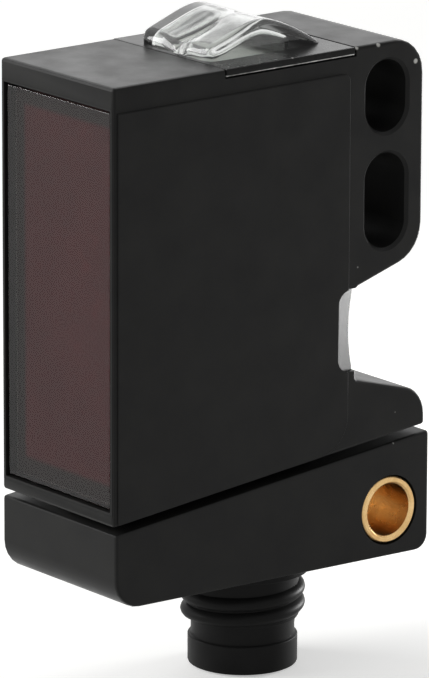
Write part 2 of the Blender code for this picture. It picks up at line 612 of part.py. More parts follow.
def dome_height(x, depth):
    """Height of the cover's dome: an S-shaped front, a crest, a falling rear and a valley."""
    toe = DOME_TOE_HEIGHT / DOME_HEIGHT
    if depth < DOME_CREST_DEPTH:
        rise = (depth - DOME_FRONT_DEPTH) / (DOME_CREST_DEPTH - DOME_FRONT_DEPTH)
        arch = toe + (1 - toe) * smooth_step(rise)
    else:
        fall = (depth - DOME_CREST_DEPTH) / (DOME_REAR_DEPTH - DOME_CREST_DEPTH)
        arch = math.sqrt(max(0.0, 1 - fall * fall)) * (1 - DOME_REAR_DROOP * fall)
    valley = DOME_VALLEY_SHARE * math.exp(-(x / (DOME_VALLEY_WIDTH / 2)) ** 2)
    from_end = DOME_LENGTH / 2 - abs(x)
    flank = math.sqrt(max(0.0, 1 - (1 - min(from_end / DOME_FLANK, 1.0)) ** 2))
    ends = DOME_END_SHARE + (1 - DOME_END_SHARE) * flank
    return DOME_HEIGHT * arch * (1 - valley) * ends


def dome_former(name, inset, bottom):
    """A solid under the dome's surface, shrunk by an inset, from its top down to bottom."""
    mesh = bpy.data.meshes.new(name)
    form = bmesh.new()
    bmesh.ops.create_grid(form, x_segments=DOME_COLUMNS, y_segments=DOME_ROWS, size=0.5)
    middle = (DOME_FRONT_DEPTH + DOME_REAR_DEPTH) / 2
    depth_span = DOME_REAR_DEPTH - DOME_FRONT_DEPTH
    shape = Matrix.Translation((0, middle, bottom)) @ Matrix.Diagonal(
        (DOME_LENGTH - 2 * inset, depth_span - 2 * inset, 1, 1))
    bmesh.ops.transform(form, matrix=shape, verts=form.verts)
    raised = bmesh.ops.extrude_face_region(form, geom=form.faces[:])
    for vertex in raised["geom"]:
        if isinstance(vertex, bmesh.types.BMVert):
            reach_x = DOME_LENGTH / (DOME_LENGTH - 2 * inset)
            reach_y = depth_span / (depth_span - 2 * inset)
            surface = dome_height(vertex.co.x * reach_x, middle + (vertex.co.y - middle) * reach_y)
            vertex.co.z = max(surface - inset, bottom + PRESS_GAP)
    bmesh.ops.recalc_face_normals(form, faces=form.faces)
    form.to_mesh(mesh)
    form.free()
    return place(bpy.data.objects.new(name, mesh), None, True)


def make_cover():
    """The clear cover: a plate flush with the top, a dome on it and a hollow under the dome."""
    half = WIDTH / 2 - PANEL_RAISE
    outline = rounded_box(-half, half, PLATE_FRONT_DEPTH, PLATE_REAR_DEPTH, PLATE_CORNER)
    cover = prism("indicator_cover", [outline], -PLATE_THICKNESS, 0, "XY", CLEAR_PLASTIC)
    combine(cover, dome_former("dome", 0, -PLATE_THICKNESS / 2), "UNION")
    hollow = dome_former("dome_hollow", DOME_WALL, -PLATE_THICKNESS - CUT_OVERRUN)
    combine(cover, hollow, "DIFFERENCE")


def make_light_guide():
    """The clear block that carries the indicators' light up into the cover."""
    half = GUIDE_WIDTH / 2
    outline = rounded_box(-half, half, GUIDE_FRONT_DEPTH, GUIDE_REAR_DEPTH, GUIDE_CORNER)
    prism("light_guide", [outline], -GUIDE_BOTTOM_DROP, -PLATE_THICKNESS - FIT_GAP, "XY", CLEAR_PLASTIC)


def base_outline():
    """Side view of the lower housing: a wedge that is taller at the rear."""
    return rounded_outline([
        (BASE_FRONT_DEPTH, -seam_drop(BASE_FRONT_DEPTH, SEAM_GAP), 0),
        (BASE_DEPTH, -seam_drop(BASE_DEPTH, SEAM_GAP), 0),
        (BASE_DEPTH, -BASE_REAR_DROP, BASE_CORNER),
        (BASE_FRONT_DEPTH, -BASE_FRONT_DROP, BASE_FRONT_CORNER)])


def collar_outline(inset):
    """Plan of the collar that stands up into the housing, set in by an inset."""
    half = INNER_HALF - SEAL_SPACE - inset
    front = CAVITY_FRONT_DEPTH + SEAL_SPACE + inset
    rear = CAVITY_REAR_DEPTH - SEAL_SPACE - inset
    return rounded_box(-half, half, front, rear, CAVITY_CORNER)


def thread_radius(angle, height):
    """Radius of the plug's thread at an angle about its axis and a height, both signed."""
    crest = (height + THREAD_CREST_DROP) / THREAD_PITCH - angle / (2 * math.pi)
    ridge = 0.5 + 0.5 * math.cos(2 * math.pi * crest)
    from_start = (-height - PLUG_FLANGE_DROP) / THREAD_START_FADE
    from_end = (THREAD_END_DROP + height) / THREAD_END_FADE
    fade = smooth_step(from_start) * smooth_step(from_end)
    return THREAD_ROOT_RADIUS + (THREAD_CREST_RADIUS - THREAD_ROOT_RADIUS) * ridge * fade


def make_plug():
    """The plug barrel: flange, thread, snap groove and end ring, turned in one piece."""
    rows = round((THREAD_END_DROP - PLUG_FLANGE_DROP) / THREAD_PITCH * THREAD_ROWS)
    thread_drops = [
        PLUG_FLANGE_DROP + (THREAD_END_DROP - PLUG_FLANGE_DROP) * row / rows
        for row in range(rows + 1)]
    top = -BASE_FLOOR_DROP - PLUG_ROOT
    profile = [(0, top), (PLUG_FLANGE_RADIUS, top)]
    profile += [(PLUG_FLANGE_RADIUS, -PLUG_FLANGE_DROP)]
    profile += [(THREAD_ROOT_RADIUS, -drop) for drop in thread_drops]
    profile += [
        (GROOVE_RADIUS, -THREAD_END_DROP), (GROOVE_RADIUS, -GROOVE_END_DROP),
        (RING_RADIUS, -GROOVE_END_DROP), (RING_RADIUS, -PLUG_END_DROP + RING_CHAMFER),
        (RING_RADIUS - RING_CHAMFER, -PLUG_END_DROP), (0, -PLUG_END_DROP)]
    plug = turned("plug_barrel", profile)
    graph = bpy.context.evaluated_depsgraph_get()
    plug.data = bpy.data.meshes.new_from_object(plug.evaluated_get(graph))
    plug.modifiers.clear()
    for vertex in plug.data.vertices:
        radius = math.hypot(vertex.co.x, vertex.co.y)
        if abs(radius - THREAD_ROOT_RADIUS) < WELD:
            angle = math.atan2(vertex.co.y, vertex.co.x)
            reach = thread_radius(angle, vertex.co.z) / radius
            vertex.co.x *= reach
            vertex.co.y *= reach
    plug.location.y = PLUG_DEPTH
    return plug


def make_base():
    """The lower housing: wedge, collar, plug barrel, inner space, bush hole and plug bore."""
    half = WIDTH / 2
    base = prism("base_housing", [base_outline()], -half, half, "YZ", BLACK_PLASTIC)
    bevel(base, BASE_EDGE)
    collar_bottom = -HOUSING_HEIGHT - SEAM_GAP - BASE_EDGE
    combine(base, prism(
        "collar", [collar_outline(0)], collar_bottom, -COLLAR_TOP_DROP, "XY"), "UNION")
    combine(base, make_plug(), "UNION")

    room = rounded_box(
        -BASE_ROOM_HALF, BASE_ROOM_HALF, BASE_ROOM_FRONT, BASE_ROOM_REAR, CAVITY_CORNER)
    room_top = -seam_drop(0, SEAM_GAP) - COLLAR_WALL
    combine(base, prism("plug_room", [room], -BASE_FLOOR_DROP, room_top, "XY"), "DIFFERENCE")
    combine(base, prism(
        "collar_hole", [collar_outline(COLLAR_WALL)], -BASE_FLOOR_DROP + BASE_CORNER,
        -COLLAR_TOP_DROP + CUT_OVERRUN, "XY"), "DIFFERENCE")

    bore = turned("plug_bore", [
        (0, -BASE_FLOOR_DROP + CUT_OVERRUN), (PLUG_NECK_RADIUS, -BASE_FLOOR_DROP + CUT_OVERRUN),
        (PLUG_NECK_RADIUS, -CARRIER_SEAT_DROP), (PLUG_BORE_RADIUS, -CARRIER_SEAT_DROP),
        (PLUG_BORE_RADIUS, -PLUG_END_DROP - CUT_OVERRUN), (0, -PLUG_END_DROP - CUT_OVERRUN)])
    bore.location.y = PLUG_DEPTH
    bore.rotation_euler.z = math.radians(180 / TURN_STEPS)
    combine(base, bore, "DIFFERENCE")

    hole = prism("bush_hole", [circle_outline(BUSH_DEPTH, -BUSH_DROP, BUSH_RADIUS + PRESS_GAP)],
                 -WIDTH, WIDTH, "YZ")
    combine(base, hole, "DIFFERENCE")


def make_bush():
    """The turned brass bush, as wide as the lower housing, with a chamfer at each rim."""
    half = WIDTH / 2
    outer = BUSH_RADIUS - BUSH_CHAMFER
    inner = BUSH_BORE_RADIUS + BUSH_CHAMFER
    bush = turned("mounting_bush", [
        (outer, half), (BUSH_RADIUS, half - BUSH_CHAMFER), (BUSH_RADIUS, BUSH_CHAMFER - half),
        (outer, -half), (inner, -half), (BUSH_BORE_RADIUS, BUSH_CHAMFER - half),
        (BUSH_BORE_RADIUS, half - BUSH_CHAMFER), (inner, half)], BRASS, closed=True)
    bush.rotation_euler.y = math.radians(90)
    bush.location = (0, BUSH_DEPTH, -BUSH_DROP)


def make_seal():
    """The rubber ring in the space between the collar and the housing's inner wall."""
    outer = collar_outline(PRESS_GAP - SEAL_SPACE)
    inner = collar_outline(-PRESS_GAP)
    prism("base_seal", [outer, inner], -SEAL_TOP_DROP - SEAL_HEIGHT, -SEAL_TOP_DROP, "XY", SEAL_RUBBER)


def contact_places():
    """Names and plan positions of the plug's contacts, counted from the +X +Y one."""
    for number in range(CONTACT_COUNT):
        angle = 2 * math.pi * (number + 0.5) / CONTACT_COUNT
        x = CONTACT_CIRCLE_RADIUS * math.cos(angle)
        depth = PLUG_DEPTH + CONTACT_CIRCLE_RADIUS * math.sin(angle)
        yield number + 1, x, depth


def make_contacts():
    """The insulating disc in the plug bore, its round pins and the wires to the board."""
    holes = [circle_outline(x, depth, CONTACT_RADIUS + PRESS_GAP) for _, x, depth in contact_places()]
    rim = circle_outline(0, PLUG_DEPTH, PLUG_BORE_RADIUS - FIT_GAP)
    top = -CARRIER_SEAT_DROP - PRESS_GAP
    prism("contact_carrier", [rim, *holes], top - CONTACT_CARRIER_HEIGHT, top, "XY", CARRIER_PLASTIC)
    board_face = BOARD_THICKNESS / 2 + PRESS_GAP + LEAD_RADIUS
    for number, x, depth in contact_places():
        pin = turned(f"contact_pin_{number}", [
            (0, -CONTACT_TOP_DROP), (CONTACT_RADIUS, -CONTACT_TOP_DROP),
            (CONTACT_RADIUS, -CONTACT_TIP_DROP + CONTACT_RADIUS / 2),
            (CONTACT_RADIUS / 2, -CONTACT_TIP_DROP), (0, -CONTACT_TIP_DROP)],
            GOLD_PLATE, steps=CONTACT_STEPS)
        pin.location = (x, depth, 0)
        side = math.copysign(1, x)
        wire_top = Vector((side * board_face, depth, LEAD_LAP - MAIN_BOARD_BOTTOM_DROP))
        wire_foot = Vector((x, depth, -CONTACT_TOP_DROP + FIT_GAP))
        make_lead(f"lead_{number}", wire_foot, wire_top)


def make_lead(name, foot, top):
    """A short insulated wire that rises off a pin, eases across and lies on the board."""
    curve = bpy.data.curves.new(name, "CURVE")
    curve.dimensions = "3D"
    curve.bevel_depth = LEAD_RADIUS
    curve.bevel_resolution = 2
    curve.use_fill_caps = True
    spline = curve.splines.new("POLY")
    count = 2 * ARC_STEPS
    spline.points.add(count)
    for step, point in enumerate(spline.points):
        share = step / count
        ease = smooth_step((share - LEAD_EASE_START) / (LEAD_EASE_END - LEAD_EASE_START))
        x = foot.x + (top.x - foot.x) * ease
        point.co = (x, foot.y, foot.z + (top.z - foot.z) * share, 1)
    mesh = solid_mesh(bpy.data.objects.new(name, curve))
    place(bpy.data.objects.new(name, mesh), WIRE_SLEEVE, False)


def lens_and_channel(name, drop, radius, source_size):
    """A plano-convex lens, and the cutters for its seat and the light channel behind it.

    The channel tapers down to a hole that the component at its rear end stands in.
    """
    bulge = [
        (radius * math.sin(turn), LENS_EDGE + LENS_BULGE * math.cos(turn))
        for turn in [math.pi / 2 * step / ARC_STEPS for step in range(ARC_STEPS + 1)]]
    lens = turned(f"{name}_lens", [*bulge, (radius, 0), (0, 0)], LENS_ACRYLIC)
    seat_floor = CARRIER_FRONT_DEPTH + LENS_SEAT_DEPTH
    lens.rotation_euler.x = math.radians(90)
    lens.location = (0, seat_floor - PRESS_GAP, -drop)
    seat = circle_outline(0, -drop, radius + PRESS_GAP)
    seat_cut = prism(
        f"{name}_seat", [seat], CARRIER_FRONT_DEPTH - CUT_OVERRUN, seat_floor, "XZ")
    mouth = radius - CARRIER_CORNER
    rear = math.hypot(source_size[0], source_size[2]) / 2 + FIT_GAP
    length = CARRIER_REAR_DEPTH - seat_floor
    channel = turned(f"{name}_channel", [
        (0, CUT_OVERRUN), (mouth, CUT_OVERRUN), (mouth, 0), (rear, -length),
        (rear, -length - CUT_OVERRUN), (0, -length - CUT_OVERRUN)])
    channel.rotation_euler.x = math.radians(90)
    channel.location = (0, seat_floor, -drop)
    return seat_cut, channel


def make_optics():
    """The optics carrier with its two lenses, one over the other."""
    outline = rounded_box(
        -CARRIER_HALF, CARRIER_HALF, -CARRIER_BOTTOM_DROP, -CARRIER_TOP_DROP, CARRIER_CORNER)
    carrier = prism(
        "optics_carrier", [outline], CARRIER_FRONT_DEPTH, CARRIER_REAR_DEPTH, "XZ", CARRIER_PLASTIC)
    for name, drop, radius, source_size in (
            ("emitter", EMITTER_DROP, EMITTER_LENS_RADIUS, EMITTER_LED_SIZE),
            ("receiver", RECEIVER_DROP, RECEIVER_LENS_RADIUS, RECEIVER_CHIP_SIZE)):
        for cutter in lens_and_channel(name, drop, radius, source_size):
            combine(carrier, cutter, "DIFFERENCE")


def chip(name, centre, size, material):
    """A small moulded block of size (x, y, z) about its centre, with softened edges."""
    low = [centre[axis] - size[axis] / 2 for axis in range(3)]
    high = [centre[axis] + size[axis] / 2 for axis in range(3)]
    outline = rounded_outline([
        (low[0], low[1], 0), (high[0], low[1], 0), (high[0], high[1], 0), (low[0], high[1], 0)])
    block = prism(name, [outline], low[2], high[2], "XY", material)
    bevel(block, min(size) / CHIP_EDGE_PART, segments=1)
    return block


def board_chip(name, side, shares, size, material):
    """A chip soldered to one side of the main board, at shares of its depth and height."""
    x = side * (BOARD_THICKNESS / 2 + PRESS_GAP + size[0] / 2)
    depth = MAIN_BOARD_FRONT_DEPTH + MAIN_BOARD_DEPTH * shares[0]
    drop = MAIN_BOARD_TOP_DROP + MAIN_BOARD_HEIGHT * shares[1]
    return chip(name, (x, depth, -drop), size, material)


def make_optics_chips():
    """The emitter and receiver in front of the optics board, and the shielded amplifier behind."""
    front = OPTICS_BOARD_FRONT_DEPTH - PRESS_GAP
    rear = OPTICS_BOARD_REAR_DEPTH + PRESS_GAP
    chip("emitter_led", (0, front - EMITTER_LED_SIZE[1] / 2, -EMITTER_DROP), EMITTER_LED_SIZE, LED_RED)
    chip("receiver_chip", (0, front - RECEIVER_CHIP_SIZE[1] / 2, -RECEIVER_DROP),
         RECEIVER_CHIP_SIZE, CHIP_BLACK)
    chip("amplifier_chip", (SHIELD_X, rear + AMPLIFIER_SIZE[1] / 2, -RECEIVER_DROP),
         AMPLIFIER_SIZE, CHIP_BLACK)
    shield = chip("receiver_shield", (SHIELD_X, rear + SHIELD_SIZE[1] / 2, -RECEIVER_DROP),
                  SHIELD_SIZE, TIN_PLATE)
    half_x = SHIELD_SIZE[0] / 2 - SHIELD_SHEET
    half_z = SHIELD_SIZE[2] / 2 - SHIELD_SHEET
    hollow = rounded_box(
        SHIELD_X - half_x, SHIELD_X + half_x, -RECEIVER_DROP - half_z, -RECEIVER_DROP + half_z,
        SHIELD_SHEET)
    combine(shield, prism(
        "shield_hollow", [hollow], rear - CUT_OVERRUN, rear + SHIELD_SIZE[1] - SHIELD_SHEET, "XZ"),
        "DIFFERENCE")


def make_board_chips():
    """The main board's processor, driver, regulator and capacitors, and the two indicators."""
    board_chip("processor_chip", 1, PROCESSOR_PLACE, PROCESSOR_SIZE, CHIP_BLACK)
    board_chip("driver_chip", -1, DRIVER_PLACE, DRIVER_SIZE, CHIP_BLACK)
    board_chip("regulator_chip", 1, REGULATOR_PLACE, REGULATOR_SIZE, CHIP_BLACK)
    for number in range(CAPACITOR_COUNT):
        spot = (CAPACITOR_PLACE[0], CAPACITOR_PLACE[1] + CAPACITOR_STEP * number)
        board_chip(f"capacitor_{number + 1}", -1, spot, CAPACITOR_SIZE, CERAMIC)
    spot = (INDICATOR_SHARE, INDICATOR_SIZE[2] / 2 / MAIN_BOARD_HEIGHT)
    board_chip("indicator_led_green", 1, spot, INDICATOR_SIZE, LED_GREEN)
    board_chip("indicator_led_yellow", -1, spot, INDICATOR_SIZE, LED_YELLOW)


def make_boards():
    """The two boards, the film link between them and the components that they carry."""
    outline = rounded_box(
        -CARRIER_HALF, CARRIER_HALF, -OPTICS_BOARD_BOTTOM_DROP, -CARRIER_TOP_DROP, CARRIER_CORNER)
    prism("optics_board", [outline], OPTICS_BOARD_FRONT_DEPTH, OPTICS_BOARD_REAR_DEPTH, "XZ",
          BOARD_GREEN)

    board_half = BOARD_THICKNESS / 2
    tongue_rear = CAVITY_REAR_DEPTH - SEAL_SPACE - COLLAR_WALL - FIT_GAP
    shoulder = -COLLAR_TOP_DROP + FIT_GAP
    outline = rounded_outline([
        (MAIN_BOARD_FRONT_DEPTH, -MAIN_BOARD_TOP_DROP, CARRIER_CORNER),
        (MAIN_BOARD_REAR_DEPTH, -MAIN_BOARD_TOP_DROP, CARRIER_CORNER),
        (MAIN_BOARD_REAR_DEPTH, shoulder, CARRIER_CORNER), (tongue_rear, shoulder, 0),
        (tongue_rear, -MAIN_BOARD_BOTTOM_DROP, CARRIER_CORNER),
        (MAIN_BOARD_FRONT_DEPTH, -MAIN_BOARD_BOTTOM_DROP, CARRIER_CORNER)])
    prism("main_board", [outline], -board_half, board_half, "YZ", BOARD_GREEN)

    film_x = board_half + PRESS_GAP
    film_depth = OPTICS_BOARD_REAR_DEPTH + PRESS_GAP
    film_end = MAIN_BOARD_FRONT_DEPTH + MAIN_BOARD_DEPTH * LINK_SHARE
    strip = rounded_outline([
        (film_x + LINK_REACH, film_depth, 0),
        (film_x, film_depth, LINK_BEND_RADIUS + LINK_THICKNESS),
        (film_x, film_end, 0),
        (film_x + LINK_THICKNESS, film_end, 0),
        (film_x + LINK_THICKNESS, film_depth + LINK_THICKNESS, LINK_BEND_RADIUS),
        (film_x + LINK_REACH, film_depth + LINK_THICKNESS, 0)])
    prism("board_link", [strip], -LINK_TOP_DROP - LINK_HEIGHT, -LINK_TOP_DROP, "XY", POLYIMIDE)


make_housing()
make_window()
make_cover()
make_light_guide()
make_base()
make_bush()
make_seal()
make_contacts()
make_optics()
make_boards()
make_optics_chips()
make_board_chips()
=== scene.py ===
# %% [markdown]
# # Reflective optical sensor: the looks
#
# A sensor of this kind is an electronic eye no longer than a thumb. A light behind the
# red window shines out, and a receiver behind the same window sees it come back. This
# script takes the finished model as a fixed frame, gives each visible piece its fine
# shape and gives each surface its real finish. The window faces -Y, the two large sides
# face +X and -X, and the plug points down. Blender works in metres here, so a length is
# written in millimetres and multiplied by MM.

import math

import bmesh
import bpy
from mathutils import Matrix, Vector


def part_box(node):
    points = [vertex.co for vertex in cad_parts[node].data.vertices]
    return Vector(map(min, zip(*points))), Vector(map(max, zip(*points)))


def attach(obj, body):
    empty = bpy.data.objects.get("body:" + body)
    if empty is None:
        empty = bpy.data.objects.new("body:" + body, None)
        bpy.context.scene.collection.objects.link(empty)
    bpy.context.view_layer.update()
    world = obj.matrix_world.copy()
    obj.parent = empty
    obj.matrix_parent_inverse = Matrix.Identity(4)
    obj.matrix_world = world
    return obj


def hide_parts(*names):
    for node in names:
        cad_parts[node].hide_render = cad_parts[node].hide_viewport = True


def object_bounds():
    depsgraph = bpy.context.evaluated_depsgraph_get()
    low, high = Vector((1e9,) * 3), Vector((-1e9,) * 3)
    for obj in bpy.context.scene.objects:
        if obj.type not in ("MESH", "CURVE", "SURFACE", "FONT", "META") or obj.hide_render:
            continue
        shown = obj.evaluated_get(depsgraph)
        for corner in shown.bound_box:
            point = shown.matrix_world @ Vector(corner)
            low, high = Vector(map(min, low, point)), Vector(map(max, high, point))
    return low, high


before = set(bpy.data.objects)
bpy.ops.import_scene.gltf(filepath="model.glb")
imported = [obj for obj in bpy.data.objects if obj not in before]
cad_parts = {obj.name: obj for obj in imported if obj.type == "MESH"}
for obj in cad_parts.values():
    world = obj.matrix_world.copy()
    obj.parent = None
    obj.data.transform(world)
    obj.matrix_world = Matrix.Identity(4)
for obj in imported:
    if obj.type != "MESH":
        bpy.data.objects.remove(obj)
cad_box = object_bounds()
MM = 0.001
print("nodes in the frame:", len(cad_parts))
print("size in mm:", [round(side / MM, 2) for side in cad_box[1] - cad_box[0]])

# %% [markdown]
# The model was measured from three planes: the middle of the width, the front of the
# housing and its flat top. A depth runs back from the front, and a drop runs down from
# the top. Reading those planes back from the nodes keeps every new piece in place.

# %% The three planes that all places are measured from
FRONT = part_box("housing")[0].y
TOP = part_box("housing")[1].z


def spot(x, depth, drop):
    """A point from its place across the sensor, its depth and its drop, in millimetres."""
    return Vector((x * MM, FRONT + depth * MM, TOP - drop * MM))


print("front at y", round(FRONT, 5), "and top at z", round(TOP, 5))

# %% [markdown]
# The camera stands where the photographer stood: to the right of the window, a little
# above the sensor, and far away with a long lens, which keeps the edges nearly parallel.
# The lens is worked out for a frame of 429 by 678 pixels, so the sensor is as large in
# it as in the photograph.

# %% Camera
AZIMUTH, ELEVATION, ROLL = 51.171, 14.979, 0.195
DISTANCE = 0.4048
AIM = Vector((0.00210, -0.00192, 0.00101))
FOCAL_PIXELS = 6467.7
PHOTO_HEIGHT = 678

camera_data = bpy.data.cameras.new("camera")
camera_data.sensor_width = 36
camera_data.lens = FOCAL_PIXELS * camera_data.sensor_width / PHOTO_HEIGHT
camera_data.clip_start = 0.01
camera_data.clip_end = 20
camera = bpy.data.objects.new("camera", camera_data)
bpy.context.scene.collection.objects.link(camera)
bpy.context.scene.camera = camera

turn = (Matrix.Rotation(math.radians(AZIMUTH), 4, "Z")
        @ Matrix.Rotation(math.radians(90 - ELEVATION), 4, "X")
        @ Matrix.Rotation(math.radians(ROLL), 4, "Z"))
camera.matrix_world = Matrix.Translation(AIM) @ turn @ Matrix.Translation((0, 0, DISTANCE))
print("lens in mm:", round(camera_data.lens, 1))

# %% [markdown]
# Colours are written as in a paint program, in sRGB hex. The shader wants linear light,
# so one function turns them. A second small function adds a node, sets its values and
# makes its links, and a third starts a material. All materials below are built with them.

# %% Colour and node helpers
def colour(hex_code):
    """A linear colour with full alpha from an sRGB hex code."""
    channels = [int(hex_code[place:place + 2], 16) / 255 for place in (1, 3, 5)]
    return (*[c / 12.92 if c <= 0.04045 else ((c + 0.055) / 1.055) ** 2.4
              for c in channels], 1.0)


def add(tree, kind, settings=None, inputs=None, stops=()):
    """Adds a node: its properties, its input values or links, and a colour ramp's stops."""
    node = tree.nodes.new("ShaderNode" + kind)
    for key, value in (settings or {}).items():
        setattr(node, key, value)
    for number, (position, hex_code) in enumerate(stops):
        elements = node.color_ramp.elements
        element = elements[number] if number < len(elements) else elements.new(position)
        element.position = position
        element.color = colour(hex_code)
    for key, value in (inputs or {}).items():
        if isinstance(value, bpy.types.NodeSocket):
            tree.links.new(value, node.inputs[key])
        else:
            node.inputs[key].default_value = value
    return node


def start_material(name):
    """A new material: its node tree, its Principled shader and its object coordinates."""
    material = bpy.data.materials.new(name)
    material.use_nodes = True
    tree = material.node_tree
    shader = tree.nodes["Principled BSDF"]
    place = add(tree, "TexCoord").outputs["Object"]
    return material, tree, shader, place


print("black plastic in linear light:", [round(c, 4) for c in colour("#232322")[:3]])

# %% [markdown]
# **The floor** is a wide sweep of pale paper that runs under and behind the sensor. Where
# it is seen, also in a reflection or through glass, a little glow lifts it to white, and
# the soft shadow of the sensor still shows on it.

# %% Floor
def white_where_seen(tree):
    """1 for rays from the camera, in gloss and through glass, and 0 for the rest."""
    path = add(tree, "LightPath").outputs
    seen = add(tree, "Math", {"operation": "MAXIMUM"},
               {0: path["Is Camera Ray"], 1: path["Is Glossy Ray"]})
    return add(tree, "Math", {"operation": "MAXIMUM"},
               {0: seen.outputs[0], 1: path["Is Transmission Ray"]}).outputs[0]


# Uncoated paper: matt, faintly warm, with no gloss at all.
floor_material = bpy.data.materials.new("pale_paper_sweep")
floor_material.use_nodes = True
tree = floor_material.node_tree
shader = tree.nodes["Principled BSDF"]
shader.inputs["Base Color"].default_value = colour("#f4f4f2")
shader.inputs["Roughness"].default_value = 0.9
shader.inputs["Specular IOR Level"].default_value = 0.0
lift = add(tree, "Math", {"operation": "MULTIPLY"}, {0: white_where_seen(tree), 1: 0.40})
glow = add(tree, "Emission", inputs={"Color": colour("#ffffff"), "Strength": lift.outputs[0]})
both = add(tree, "AddShader", inputs={0: shader.outputs[0], 1: glow.outputs[0]})
tree.links.new(both.outputs[0], tree.nodes["Material Output"].inputs["Surface"])

form = bmesh.new()
bmesh.ops.create_grid(form, x_segments=1, y_segments=1, size=3.0)
bmesh.ops.translate(form, verts=form.verts, vec=(0, 0, cad_box[0].z - 0.1 * MM))
floor_mesh = bpy.data.meshes.new("floor")
form.to_mesh(floor_mesh)
form.free()
floor_mesh.materials.append(floor_material)
floor = bpy.data.objects.new("floor", floor_mesh)
bpy.context.scene.collection.objects.link(floor)
print("floor at z", round(floor_mesh.vertices[0].co.z, 5))

# %% [markdown]
# **The world** is a white room. It is fully white where it is seen, so gloss, glass and
# brass mirror white walls, and weaker as a lamp, so the black plastic keeps its shading.

# %% World
world = bpy.data.worlds.new("studio")
bpy.context.scene.world = world
world.use_nodes = True
tree = world.node_tree
strength = add(tree, "MapRange", inputs={
    "Value": white_where_seen(tree), "To Min": 0.30, "To Max": 1.0})
background = tree.nodes["Background"]
background.inputs["Color"].default_value = colour("#ffffff")
tree.links.new(strength.outputs["Result"], background.inputs["Strength"])
bpy.context.scene.view_settings.view_transform = "Standard"
print("view transform:", bpy.context.scene.view_settings.view_transform)

# %% [markdown]
# **Three lamps.** In the photograph the window side is lighter than the large side, so
# the main lamp stands at the front left, large and soft. A weaker one stands low behind
# the far side, just where the flat top mirrors it to the camera, and gives that top its
# grey sheen. A small one close behind the sensor lights the notch and draws the thin
# bright lines along the rear edges.

# %% Lamps
def soft_lamp(name, direction, distance, width, height, power):
    """A rectangular lamp that looks at the middle of the sensor."""
    data = bpy.data.lights.new(name, "AREA")
    data.shape = "RECTANGLE"
    data.size = width
    data.size_y = height
    data.energy = power
    lamp = bpy.data.objects.new(name, data)
    away = Vector(direction).normalized()
    lamp.location = away * distance
    lamp.rotation_euler = away.to_track_quat("Z", "Y").to_euler()
    lamp.visible_camera = False
    lamp.visible_transmission = False
    bpy.context.scene.collection.objects.link(lamp)


soft_lamp("front_left_lamp", (-0.62, -0.78, 0.50), 0.70, 0.45, 0.45, 4.1)
soft_lamp("top_lamp", (-0.75, 0.61, 0.34), 0.70, 0.45, 0.45, 0.55)
soft_lamp("rear_lamp", (0.04, 0.99, -0.10), 0.095, 0.03, 0.02, 0.085)

# %% [markdown]
# Every piece ends the same way. Its bmesh becomes a mesh with smooth shading that breaks
# at sharp edges, the object stays at the origin, and the frame is told what it rides on,
# which node it stands for and which finish it takes. A moulded edge is never quite
# sharp, so it can be given a fine bevel. Each edge could be bevelled by hand, but one
# modifier that picks them by their angle treats them all alike, and weighted normals
# keep the large flats beside them looking flat.

# %% Finishing a piece
SMOOTH_UP_TO = math.radians(38)


def finish(form, name, material, nodes, edge=0):
    """Turns a bmesh into a piece that stands for some nodes; edge is a fine bevel in mm."""
    mesh = bpy.data.meshes.new(name)
    form.to_mesh(mesh)
    form.free()
    mesh.materials.append(material)
    mesh.shade_smooth()
    mesh.set_sharp_from_angle(angle=SMOOTH_UP_TO)
    piece = bpy.data.objects.new(name, mesh)
    bpy.context.scene.collection.objects.link(piece)
    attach(piece, "root")
    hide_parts(*nodes)
    if edge:
        bevel = piece.modifiers.new("fine edge", "BEVEL")
        bevel.width = edge * MM
        bevel.segments = 2
        bevel.limit_method = "ANGLE"
        bevel.angle_limit = SMOOTH_UP_TO
    flats = piece.modifiers.new("flats stay flat", "WEIGHTED_NORMAL")
    flats.keep_sharp = True
    print(name, "has", len(mesh.polygons), "faces")
    return piece


print("edges stay sharp from", round(math.degrees(SMOOTH_UP_TO)), "degrees")

# %% [markdown]
# Pieces come about in two ways. Where the model's form is right, a copy of its node is
# taken, and its loose triangles are joined into whole faces so that a bevel finds clean
# edges. Round pieces are drawn anew: one closed section, spun once about an axis, just as
# a lathe or a round mould makes them.

# %% Two ways to begin a piece
def merged_copy(node):
    """A bmesh copy of a node with its loose triangles joined into whole faces."""
    form = bmesh.new()
    form.from_mesh(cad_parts[node].data)
    bmesh.ops.remove_doubles(form, verts=form.verts, dist=0.002 * MM)
    bmesh.ops.dissolve_limit(
        form, angle_limit=math.radians(0.5), verts=form.verts, edges=form.edges)
    return form


def spun(section, centre, axis, steps):
    """A closed section of points, spun once round an axis into a solid."""
    form = bmesh.new()
    corners = [form.verts.new(point) for point in section]
    for first, second in zip(corners, corners[1:] + corners[:1]):
        form.edges.new((first, second))
    bmesh.ops.spin(
        form, geom=form.verts[:] + form.edges[:], cent=centre, axis=axis,
        angle=2 * math.pi, steps=steps, use_merge=True)
    bmesh.ops.remove_doubles(form, verts=form.verts, dist=0.001 * MM)
    bmesh.ops.recalc_face_normals(form, faces=form.faces)
    return form


print("triangles in the housing's node:", len(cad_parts["housing"].data.polygons))

# %% [markdown]
# **Black moulded plastic.** The housing is glass-filled PBT, injection moulded in a tool
# whose walls were spark-eroded. That gives the eye a deep neutral black with a fine even
# grain that spreads reflections wide, slightly uneven gloss where hands and screws have
# rubbed it, and tiny pale nicks. The photograph also shows three larger chips along the
# near top edge. The real grain is about 0.03 mm and too fine to show, so it is drawn at
# 0.09 mm. The IOR of PBT is about 1.6, but the grain scatters most of what it reflects,
# and 1.20 matches the photograph.

